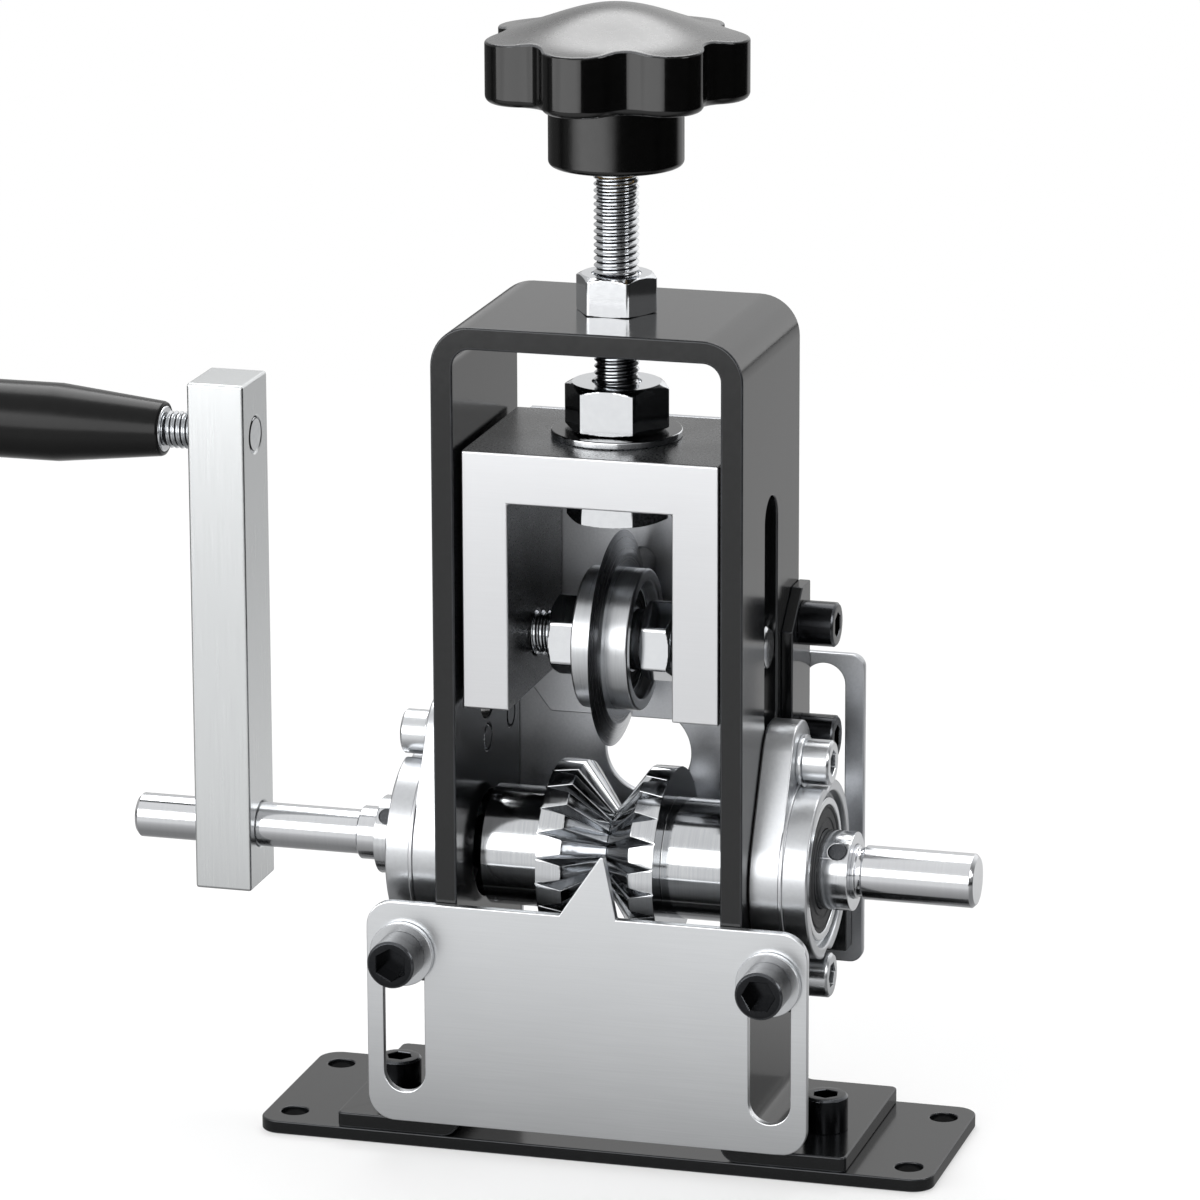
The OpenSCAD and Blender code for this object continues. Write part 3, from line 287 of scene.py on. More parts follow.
# Milled and polished tool steel: bright flanks and dark oily valleys
TOOL_STEEL = Finish("milled_polished_tool_steel", "#cbcdcf", "#b9bbbe", 1.0, (0.1, 0.13),
                    grain=Grain.ROUND_X, grain_mm=0.35, patch_mm=20)
# Cold-drawn bar with a satin skin that streaks faintly along its length
DRAWN_BAR = Finish("satin_cold_drawn_bar", "#d2d4d5", "#cacccd", 1.0, (0.26, 0.275), grain=Grain.ALONG_Z,
                   grain_mm=0.4, patch_mm=60)
# Rolled thread in bright steel
ROLLED_THREAD = Finish("rolled_bright_thread", "#dddfe1", "#c4c6c9", 1.0, (0.12, 0.18), grain_mm=1.2,
                       patch_mm=8)
# The valleys of a thread, nearly black: painted shade in the thread's hollows
THREAD_VALLEY_SHADE = Finish("oiled_thread_valley", "#37383a", "#1f2022", 1.0, (0.3, 0.4), grain_mm=1.2, patch_mm=8)
# Black phenolic moulding, polished: deep black with a clear, hard gloss
PHENOLIC = Finish("polished_black_phenolic", "#060606", "#040404", 0.0, (0.1, 0.13), grain_mm=2.0,
                  relief_mm=0.0003, patch_mm=20, ior=1.42)
# The same moulding on the knob's crown, which the mould left a little duller
PHENOLIC_CROWN = Finish("moulded_black_phenolic_crown", "#060606", "#040404", 0.0, (0.26, 0.3),
                        grain_mm=2.0, relief_mm=0.0003, patch_mm=20, coat=0.35, coat_roughness=0.26, ior=1.5)
# The knob's upper rim in a paler colour: a painted highlight, a thin light line round the lobes
PHENOLIC_RIM_HIGHLIGHT = Finish("rubbed_phenolic_rim", "#5e5f61", "#48494b", 0.0, (0.22, 0.28), grain_mm=3.0,
                      patch_mm=20)
# The same moulding on the handle, worn a little duller by the hand
PHENOLIC_GRIP = Finish("worn_black_phenolic_grip", "#060606", "#040404", 0.0, (0.2, 0.26), grain_mm=2.0,
                       relief_mm=0.0003, patch_mm=20, ior=1.3)
# Blackened steel with the coarse skin of a heat-treated block
BLACKENED_STEEL = Finish("blackened_steel_block", "#7c7e81", "#101113", 0.4, (0.24, 0.34), grain_mm=0.5,
                         relief_mm=0.03, patch_mm=80, blend=(0.21, 0.33))
# Surface-ground steel face: bright silver with fine straight lines
GROUND_FACE = Finish("surface_ground_steel_face", "#cccdcf", "#c8c9cb", 1.0, (0.28, 0.29),
                     grain=Grain.ALONG_X, grain_mm=0.3, patch_mm=60)
# Satin-brushed sheet, faintly streaked along its width
BRUSHED_SHEET = Finish("satin_brushed_steel_sheet", "#dcdee0", "#d5d7d9", 1.0, (0.28, 0.295),
                       grain=Grain.ALONG_X, grain_mm=0.3, patch_mm=60)
# Oiled steel sheet at the back of the carriage and of the frame: a dull, even grey
DULL_SHEET = Finish("dull_oiled_steel_sheet", "#bcbec1", "#a9abaf", 1.0, (0.3, 0.34), grain_mm=0.5,
                    relief_mm=0.002, patch_mm=40)
# Turned blade hub: satin, with a soft sheen
HUB_STEEL = Finish("satin_turned_hub_steel", "#c2c4c6", "#aeb0b3", 1.0, (0.27, 0.33), grain=Grain.ROUND_X,
                   grain_mm=0.3, patch_mm=25)
# Hardened blade steel: satin grey with fine rings from grinding
BLADE_STEEL = Finish("ground_hardened_blade_steel", "#b9bbbe", "#a0a2a6", 1.0, (0.16, 0.28),
                     grain=Grain.ROUND_BLADE, grain_mm=0.25, relief_mm=0.001, patch_mm=25)


# Mesh making


def new_mesh(name: str, vertices: Sequence[Any], faces: Sequence[Any]) -> bpy.types.Mesh:
    """Makes a mesh with its faces turned outward and its doubles merged.

    Args:
        name: The mesh's name.
        vertices: Points in millimetres.
        faces: Corner numbers of each face.

    Returns:
        The mesh, in metres.
    """
    mesh = bpy.data.meshes.new(name)
    mesh.from_pydata([tuple(float(c) * MM for c in v) for v in vertices], [], faces)
    return tidy(mesh)


def tidy(mesh: bpy.types.Mesh, merge: float = 0.001) -> bpy.types.Mesh:
    """Merges a mesh's doubles, drops faces without area and turns the rest outward.

    Args:
        mesh: The mesh, changed in place.
        merge: The distance in millimetres below which two points are one.

    Returns:
        The same mesh.
    """
    work = bmesh.new()
    work.from_mesh(mesh)
    bmesh.ops.remove_doubles(work, verts=work.verts, dist=merge * MM)
    bmesh.ops.dissolve_degenerate(work, edges=work.edges, dist=merge * MM * 0.1)
    bmesh.ops.recalc_face_normals(work, faces=work.faces)
    work.to_mesh(mesh)
    work.free()
    return mesh


def rounded(points: Sequence[tuple[float, float]], radius: float, steps: int = 3,
            closed: bool = True) -> list[tuple[float, float]]:
    """Rounds the corners of an outline.

    Args:
        points: The outline's corners.
        radius: The rounding's radius, cut down where a side is short.
        steps: The number of steps in each rounded corner.
        closed: Whether the last corner runs on to the first.

    Returns:
        The new outline.
    """
    found: list[tuple[float, float]] = []
    count = len(points)
    for i, corner in enumerate(points):
        if not closed and i in (0, count - 1):
            found.append(corner)
            continue
        here = Vector(corner)
        back = Vector(points[i - 1]) - here
        on = Vector(points[(i + 1) % count]) - here
        angle = back.angle(on, math.pi)
        if angle > math.radians(172):
            found.append(corner)
            continue
        reach = min(radius / math.tan(angle / 2), back.length * 0.45, on.length * 0.45)
        start, end = here + back.normalized() * reach, here + on.normalized() * reach
        for k in range(steps + 1):
            t = k / steps
            point = start * (1 - t) ** 2 + here * 2 * t * (1 - t) + end * t * t
            found.append((point.x, point.y))
    return found


def loft(name: str, loops: Sequence[np.ndarray], joined: bool = False) -> bpy.types.Mesh:
    """Skins a row of loops that all have the same number of points.

    Args:
        name: The mesh's name.
        loops: The loops, each an array of points.
        joined: Whether the last loop joins the first, as in a ring. Otherwise both ends are closed.

    Returns:
        The closed mesh.
    """
    count, around = len(loops), len(loops[0])
    vertices = list(np.concatenate(loops))
    faces = []
    for j in range(count if joined else count - 1):
        low, high = j * around, (j + 1) % count * around
        for i in range(around):
            k = (i + 1) % around
            faces.append((low + i, low + k, high + k, high + i))
    if not joined:
        for j in (0, count - 1):
            centre = len(vertices)
            vertices.append(loops[j].mean(axis=0))
            for i in range(around):
                faces.append((centre, j * around + i, j * around + (i + 1) % around))
    return new_mesh(name, vertices, faces)


def circle(radius: float | np.ndarray, height: float, around: int) -> np.ndarray:
    """A loop about the Z axis, whose radius may change from point to point."""
    angle = np.arange(around) * TURN / around
    reach = np.broadcast_to(radius, (around,))
    return np.stack([reach * np.cos(angle), reach * np.sin(angle), np.full(around, height)], axis=1)


def hexagon(flats: float, around: int) -> np.ndarray:
    """The radius of a hexagon at each point of a loop."""
    angle = np.arange(around) * TURN / around
    return flats / 2 / np.cos(np.mod(angle, TURN / 6) - TURN / 12)


def turned(name: str, outline: Sequence[tuple[float, float]], around: int = 96,
           joined: bool = True) -> bpy.types.Mesh:
    """Turns an outline of radius and height about the Z axis.

    Args:
        name: The mesh's name.
        outline: Pairs of radius and height.
        around: The number of points round the axis.
        joined: Whether the outline is closed, as a ring's section is.

    Returns:
        The mesh.
    """
    return loft(name, [circle(max(r, 0.0), z, around) for r, z in outline], joined)


def ring(name: str, outer: float, inner: float, low: float, high: float, ease: float,
         around: int = 96) -> bpy.types.Mesh:
    """A flat ring about the Z axis with eased edges."""
    section = [(inner, low), (outer, low), (outer, high), (inner, high)]
    return turned(name, rounded(section, ease), around)


def placed(mesh: bpy.types.Mesh, axis: Axis = Axis.PLUS_Z, at: Sequence[float] = (0, 0, 0),
           spin: float = 0.0) -> bpy.types.Mesh:
    """Turns a mesh that was drawn along +Z to its axis and moves it to its place.

    Args:
        mesh: The mesh, changed in place.
        axis: Where its +Z goes.
        at: Where its origin goes, in millimetres.
        spin: How far it is turned about its own +Z first, in degrees.

    Returns:
        The same mesh.
    """
    turn = Vector((0, 0, 1)).rotation_difference(Vector(axis.value)).to_matrix().to_4x4()
    mesh.transform(Matrix.Translation(Vector(at) * MM) @ turn @ Matrix.Rotation(math.radians(spin), 4, "Z"))
    return mesh


def merged(name: str, meshes: Sequence[bpy.types.Mesh]) -> bpy.types.Mesh:
    """Puts several meshes in one.

    Args:
        name: The new mesh's name.
        meshes: The meshes, which are removed.

    Returns:
        The new mesh.
    """
    work = bmesh.new()
    for mesh in meshes:
        work.from_mesh(mesh)
    whole = bpy.data.meshes.new(name)
    work.to_mesh(whole)
    work.free()
    for mesh in meshes:
        bpy.data.meshes.remove(mesh)
    return whole


def baked(holder: bpy.types.Object) -> bpy.types.Mesh:
    """Turns an object with its modifiers into a plain mesh and removes the object.

    Args:
        holder: The object.

    Returns:
        Its final mesh.
    """
    bpy.context.view_layer.update()
    graph = bpy.context.evaluated_depsgraph_get()
    mesh = bpy.data.meshes.new_from_object(holder.evaluated_get(graph), preserve_all_data_layers=True,
                                           depsgraph=graph)
    mesh.name = holder.name
    old = holder.data
    bpy.data.objects.remove(holder)
    bpy.data.meshes.remove(old)
    return mesh


def held(name: str, data: bpy.types.ID) -> bpy.types.Object:
    """An object that holds a mesh, a lamp or a camera in the scene."""
    holder = bpy.data.objects.new(name, data)
    bpy.context.scene.collection.objects.link(holder)
    return holder


def smoothed(mesh: bpy.types.Mesh, sharp: float = 35.0) -> bpy.types.Mesh:
    """Shades a mesh smooth, except across edges that turn more than an angle.

    Args:
        mesh: The mesh, which is used up.
        sharp: The angle in degrees.

    Returns:
        A mesh whose flat faces keep an even shade right up to their rounded edges.
    """
    holder = held(mesh.name, mesh)
    mesh.shade_smooth()
    mesh.set_sharp_from_angle(angle=math.radians(sharp))
    weight = holder.modifiers.new("weight", "WEIGHTED_NORMAL")
    weight.keep_sharp = True
    return baked(holder)


def eased(node: str, width: float, segments: int = 3, sharp: float = 30.0,
          rim: bool = False) -> bpy.types.Mesh:
    """Copies a CAD node's mesh and rounds its edges, as on a part that was deburred.

    Args:
        node: The CAD node.
        width: The rounding's width in millimetres.
        segments: The number of faces across each rounding.
        sharp: The least angle in degrees between two faces that is rounded.
        rim: Whether the rounded faces take the piece's second finish.

    Returns:
        The new mesh.
    """
    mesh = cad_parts[node].data.copy()
    mesh.name = node + "_eased"
    mesh.materials.clear()
    work = bmesh.new()
    work.from_mesh(mesh)
    bmesh.ops.remove_doubles(work, verts=work.verts, dist=CAD_MERGE_MM * MM)
    bmesh.ops.dissolve_degenerate(work, edges=work.edges, dist=CAD_MERGE_MM * MM)
    bmesh.ops.dissolve_limit(work, angle_limit=math.radians(FLAT_DEGREES), verts=work.verts,
                             edges=work.edges)
    work.to_mesh(mesh)
    work.free()
    for extra in [a.name for a in mesh.attributes if a.name in ("custom_normal", "sharp_face", "sharp_edge")]:
        mesh.attributes.remove(mesh.attributes[extra])
    holder = held(mesh.name, mesh)
    mesh.shade_smooth()
    if rim:
        mesh.materials.append(None)
        mesh.materials.append(None)
    bevel = holder.modifiers.new("ease", "BEVEL")
    bevel.width = width * MM
    bevel.segments = segments
    bevel.limit_method = "ANGLE"
    bevel.angle_limit = math.radians(sharp)
    bevel.use_clamp_overlap = False
    bevel.material = 1 if rim else -1
    return smoothed(baked(holder), 40)


def geometry_tree(name: str, inputs: Sequence[tuple[str, str, Any]]) -> tuple[
        bpy.types.NodeTree, dict[str, bpy.types.NodeSocket], dict[str, str]]:
    """Starts a Geometry Nodes tree with named inputs.

    Args:
        name: The tree's name.
        inputs: The name, the socket type and the value of each input.

    Returns:
        The tree, its input sockets by name, and each input's identifier by name.
    """
    tree = bpy.data.node_groups.new(name, "GeometryNodeTree")
    tree.interface.new_socket("Geometry", in_out="OUTPUT", socket_type="NodeSocketGeometry")
    names = {}
    for label, kind, value in inputs:
        socket = tree.interface.new_socket(label, in_out="INPUT", socket_type=kind)
        if value is not None:
            socket.default_value = value
        names[label] = socket.identifier
    source = add_node(tree, "NodeGroupInput")
    return tree, {label: source.outputs[label] for label, _, _ in inputs}, names


def grown(holder: bpy.types.Object, tree: bpy.types.NodeTree, names: dict[str, str],
          values: dict[str, Any]) -> bpy.types.Mesh:
    """Runs a Geometry Nodes tree on an object and bakes what it makes.

    Args:
        holder: The object that carries the modifier, which is used up.
        tree: The tree.
        names: Each input's identifier by name.
        values: Each input's value by name.

    Returns:
        The plain mesh.
    """
    modifier = holder.modifiers.new(tree.name, "NODES")
    modifier.node_group = tree
    for label, value in values.items():
        modifier[names[label]] = value
    return baked(holder)


class ThreadMaker:
    """Makes threaded rods with Geometry Nodes: a grid that is wound into a screw's skin."""

    around: int = 48
    rows_a_turn: int = 8
    spare_turns: float = 3.0
    crest: tuple[float, float] = (0.06, 0.44)
    depth_a_pitch: float = 0.48
    valley_share: float = 0.25

    def __init__(self) -> None:
        """Builds the tree once."""
        self.tree, got, self.names = geometry_tree("threaded_rod", [
            ("Geometry", "NodeSocketGeometry", None), ("Length", "NodeSocketFloat", 0.1),
            ("Radius", "NodeSocketFloat", 0.005), ("Depth", "NodeSocketFloat", 0.0009),
            ("Pitch", "NodeSocketFloat", 0.0015), ("Rows", "NodeSocketInt", 100),
            ("Material", "NodeSocketMaterial", None), ("Valley", "NodeSocketMaterial", None)])
        node, done = partial(add_node, self.tree), partial(maths, self.tree)
        grid = node("GeometryNodeMeshGrid", {"Vertices X": self.around + 1, "Vertices Y": got["Rows"]})
        index = node("GeometryNodeInputIndex").outputs[0]
        column = done("FLOOR", done("DIVIDE", index, got["Rows"]))
        row = done("SUBTRACT", index, done("MULTIPLY", column, got["Rows"]))
        share = done("DIVIDE", column, float(self.around))
        turns = done("DIVIDE", row, float(self.rows_a_turn))
        turns = done("ADD", done("SUBTRACT", turns, self.spare_turns / 2), share)
        height = done("MINIMUM", done("MAXIMUM", done("MULTIPLY", turns, got["Pitch"]), 0.0), got["Length"])
        phase = done("FRACT", done("DIVIDE", done("ADD", row, 0.001), float(self.rows_a_turn)))
        off = done("ABSOLUTE", done("SUBTRACT", phase, 0.5))
        fall = mapped(self.tree, off, self.crest)
        root = done("SUBTRACT", got["Radius"], got["Depth"])
        radius = done("SUBTRACT", got["Radius"], done("MULTIPLY", fall, got["Depth"]))
        left = done("SUBTRACT", got["Length"], height)
        radius = done("MINIMUM", radius, done("ADD", root, done("MINIMUM", height, left)))
        angle = done("MULTIPLY", share, TURN)
        point = node("ShaderNodeCombineXYZ", {
            0: done("MULTIPLY", radius, done("COSINE", angle)),
            1: done("MULTIPLY", radius, done("SINE", angle)), 2: height})
        skin = node("GeometryNodeSetPosition", {
            "Geometry": grid.outputs["Mesh"], "Position": point.outputs[0]})
        join = node("GeometryNodeJoinGeometry", {0: skin.outputs[0]})
        for end in (0.0, got["Length"]):
            cap = node("GeometryNodeMeshCircle", {"Vertices": self.around, "Radius": root}, fill_type="NGON")
            shift = node("ShaderNodeCombineXYZ", {2: end})
            moved = node("GeometryNodeTransform", {
                "Geometry": cap.outputs[0], "Translation": shift.outputs[0]})
            self.tree.links.new(moved.outputs[0], join.inputs[0])
        whole = node("GeometryNodeMergeByDistance", {"Geometry": join.outputs[0], "Distance": 0.005 * MM})
        real = node("GeometryNodeRealizeInstances", {0: whole.outputs[0]})
        dressed = node("GeometryNodeSetMaterial", {
            "Geometry": real.outputs[0], "Material": got["Material"]})
        spot = node("ShaderNodeSeparateXYZ", {0: node("GeometryNodeInputPosition").outputs[0]})
        squares = [done("POWER", spot.outputs[i], 2.0) for i in (0, 1)]
        reach = done("SQRT", done("ADD", *squares))
        # The faces deep in the valleys take a nearly black finish: painted shade
        valley = done("ADD", root, done("MULTIPLY", got["Depth"], self.valley_share))
        deep = done("MULTIPLY", done("LESS_THAN", reach, valley),
                    done("GREATER_THAN", reach, done("MULTIPLY", root, 0.5)))
        shaded_valleys = node("GeometryNodeSetMaterial", {
            "Geometry": dressed.outputs[0], "Selection": deep, "Material": got["Valley"]})
        node("NodeGroupOutput", {0: shaded_valleys.outputs[0]})

    def rod(self, name: str, length: float, diameter: float, pitch: float = 1.5) -> bpy.types.Mesh:
        """Makes one rod along +Z from the origin.

        Args:
            name: The mesh's name.
            length: Its length in millimetres.
            diameter: The thread's outer diameter.
            pitch: The distance between two turns.

        Returns:
            The rod's mesh, whose face numbers stand for the thread's finish and the painted shade in its
            valleys.
        """
        rows = int(round((length / pitch + self.spare_turns) * self.rows_a_turn))
        holder = held(name, bpy.data.meshes.new(name))
        mesh = grown(holder, self.tree, self.names, {
            "Length": length * MM, "Radius": diameter / 2 * MM, "Depth": pitch * self.depth_a_pitch * MM,
            "Pitch": pitch * MM, "Rows": rows, "Material": ROLLED_THREAD.build(),
            "Valley": THREAD_VALLEY_SHADE.build()})
        valleys = [bool(slot) and slot.name == THREAD_VALLEY_SHADE.name for slot in mesh.materials]
        for face in mesh.polygons:
            face.material_index = int(valleys[face.material_index])
        return smoothed(tidy(mesh, 0.003), 60)


class FastenerMaker:
    """Puts one drawn fastener at several places with Geometry Nodes."""

    def __init__(self) -> None:
        """Builds the tree once."""
        self.tree, got, self.names = geometry_tree("fasteners_at_places", [
            ("Geometry", "NodeSocketGeometry", None), ("Fastener", "NodeSocketObject", None),
            ("Seed", "NodeSocketInt", 3), ("Material", "NodeSocketMaterial", None)])
        node = partial(add_node, self.tree)
        facing = node("GeometryNodeInputNamedAttribute", {"Name": "facing"}, data_type="FLOAT_VECTOR")
        lined = node("FunctionNodeAlignRotationToVector", {"Vector": facing.outputs[0]}, axis="Z")
        chance = node("FunctionNodeRandomValue", {2: 0.0, 3: TURN / 6, "Seed": got["Seed"]},
                      data_type="FLOAT")
        about = node("ShaderNodeCombineXYZ", {2: chance.outputs[1]})
        spun = node("FunctionNodeRotateRotation", {
            0: lined.outputs[0], 1: about.outputs[0]}, rotation_space="LOCAL")
        source = node("GeometryNodeObjectInfo", {"Object": got["Fastener"]})
        spread = node("GeometryNodeInstanceOnPoints", {
            "Points": got["Geometry"], "Instance": source.outputs["Geometry"], "Rotation": spun.outputs[0]})
        real = node("GeometryNodeRealizeInstances", {0: spread.outputs[0]})
        dressed = node("GeometryNodeSetMaterial", {
            "Geometry": real.outputs[0], "Material": got["Material"]})
        node("NodeGroupOutput", {0: dressed.outputs[0]})

    def spread(self, name: str, fastener: bpy.types.Mesh, places: Sequence[Place], finish: Finish,
               seed: int = 3) -> bpy.types.Mesh:
        """Repeats a fastener.

        Args:
            name: The mesh's name.
            fastener: One fastener, drawn along +Z from the face it seats on. It is used up.
            places: Where each one seats, in millimetres, and which way its head looks.
            finish: Their finish.
            seed: What the turn of each key socket is drawn from.

        Returns:
            All of them as one mesh.
        """
        points = bpy.data.meshes.new(name)
        points.from_pydata([tuple(c * MM for c in at) for at, _ in places], [], [])
        facing = points.attributes.new("facing", "FLOAT_VECTOR", "POINT")
        facing.data.foreach_set("vector", [c for _, axis in places for c in axis.value])
        source = held(name + "_source", fastener)
        mesh = grown(held(name, points), self.tree, self.names, {
            "Fastener": source, "Seed": seed, "Material": finish.build()})
        bpy.data.objects.remove(source)
        bpy.data.meshes.remove(fastener)
        return smoothed(mesh, 32)


@dataclass(frozen=True)
class SocketScrew:
    """The sizes of a hexagon-socket screw."""

    shank_l: float
    shank_d: float = 6.0
    head_h: float = 8.0
    head_d: float = 10.0
    key: float = 5.0
    key_depth: float = 5.5
    around: int = 72

    def mesh(self) -> bpy.types.Mesh:
        """Draws the screw along +Z, with its head standing on z = 0.

        Returns:
            The screw's mesh.
        """
        socket = hexagon(self.key, self.around)
        radius, shank, top = self.head_d / 2, self.shank_d / 2, self.head_h
        loops = [circle(r, z, self.around) for r, z in (
            (shank - 0.5, -self.shank_l), (shank, 0.5 - self.shank_l), (shank, -0.05))]
        loops += [circle(r, z, self.around) for r, z in rounded(
            [(shank, 0.0), (radius - 0.1, 0.0), (radius, 0.15), (radius, top - 0.5), (radius - 0.5, top),
             (self.key * 0.64, top)], 0.12, 2, False)]
        loops += [circle(reach, z, self.around) for reach, z in (
            (socket * 1.05, top), (socket, top - 0.25), (socket, top - self.key_depth),
            (0.02, top - self.key_depth))]
        return loft("socket_screw", loops)


def pressed_seal(inner: float, outer: float, low: float, way: int, thick: float = 0.6) -> bpy.types.Mesh:
    """A bearing's seal about the Z axis, with two pressed steps on its outer face.

    Args:
        inner: Its inner radius.
        outer: Its outer radius.
        low: Its lower face's height.
        way: +1 where its upper face looks outward, -1 where its lower face does.
        thick: Its thickness.

    Returns:
        The seal's mesh.
    """
    width = outer - inner
    steps = [(0.0, 0.0), (0.24, 0.0), (0.28, -0.25), (0.44, -0.25), (0.48, 0.0), (0.78, 0.0), (0.82, -0.3),
             (0.88, -0.3), (0.92, 0.0), (1.0, 0.0)]
    face = [(inner + width * share, thick + deep) for share, deep in steps]
    outline = [(inner, 0.0), (outer, 0.0)] + face[::-1]
    turn = [(r, low + (h if way > 0 else thick - h)) for r, h in outline]
    return turned("seal", rounded(turn, 0.08, 2), 96)


def hex_nut(name: str, flats: float, height: float, foot: float = 1.0, bore: float = 10.1) -> bpy.types.Mesh:
    """A hexagon nut along +Z from z = 0, with turned chamfers on its corners and a countersunk bore.

    Args:
        name: The mesh's name.
        flats: The width across its flats.
        height: Its height.
        foot: The lower chamfer's height against the upper one's.
        bore: The bore's diameter.

    Returns:
        The nut's mesh.
    """
    around = 144
    corner = flats / 2 / math.cos(TURN / 12)
    wall = np.minimum(hexagon(flats, around), corner - 0.12)
    face, inner = flats / 2 * 0.96, bore / 2
    drop = (corner - face) * math.tan(math.radians(30))
    half = [circle(r, z, around) for r, z in (
        (inner, height * 0.5), (inner, height * 0.12 + 0.3), (inner + 0.45, 0), (face - 0.15, 0))]
    for share in np.linspace(0, 1, 8):
        reach = face + (corner - face) * share
        half.append(circle(np.minimum(wall, reach), drop * share, around))
    other = [np.column_stack([loop[:, :2], height - loop[:, 2]]) for loop in half[::-1]]
    half = half[:3] + [np.column_stack([loop[:, :2], loop[:, 2] * foot]) for loop in half[3:]]
    return smoothed(loft(name, half + other[:-1], True), 28)


# Putting pieces in the scene


def add_piece(name: str, mesh: bpy.types.Mesh, finishes: Sequence[Finish], body: str, slot: str,
              *nodes: str) -> bpy.types.Object:
    """Puts a finished mesh in the scene as one piece.

    Args:
        name: The piece's name.
        mesh: Its mesh, in place.
        finishes: Its finishes, in the order of the mesh's material numbers.
        body: The CAD body that it rides on.
        slot: Its material slot's name; not used.
        nodes: The CAD nodes that it stands for.

    Returns:
        The piece.
    """
    numbers = np.zeros(len(mesh.polygons), np.int32)
    mesh.polygons.foreach_get("material_index", numbers)
    mesh.materials.clear()
    for finish in finishes:
        mesh.materials.append(finish.build())
    mesh.polygons.foreach_set("material_index", np.minimum(numbers, len(finishes) - 1))
    piece = held(name, mesh)
    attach(piece, body)
    if nodes:
        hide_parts(*nodes)
    LOG.info("%s: %d faces on %s, for %s", name, len(mesh.polygons), body, ", ".join(nodes) or "detail")
    return piece


def dress_node(node: str, finish: Finish) -> None:
    """Gives a CAD node that stays in sight its finish.

    Args:
        node: The node.
        finish: The finish.
    """
    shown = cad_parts[node]
    for number in range(max(1, len(shown.material_slots))):
        if not shown.material_slots:
            shown.data.materials.append(finish.build())
        else:
            shown.material_slots[number].link = "OBJECT"
            shown.material_slots[number].material = finish.build()
    LOG.info("%s keeps its CAD shape with %s", node, finish.name)


def faces_toward(mesh: bpy.types.Mesh, way: Axis, number: int) -> None:
    """Gives the flat faces that look one way another finish number.

    Args:
        mesh: The mesh, changed in place.
        way: The direction.
        number: The number of the finish.
    """
    look = Vector(way.value)
    for face in mesh.polygons:
        if face.normal.dot(look) > 0.98:
            face.material_index = number


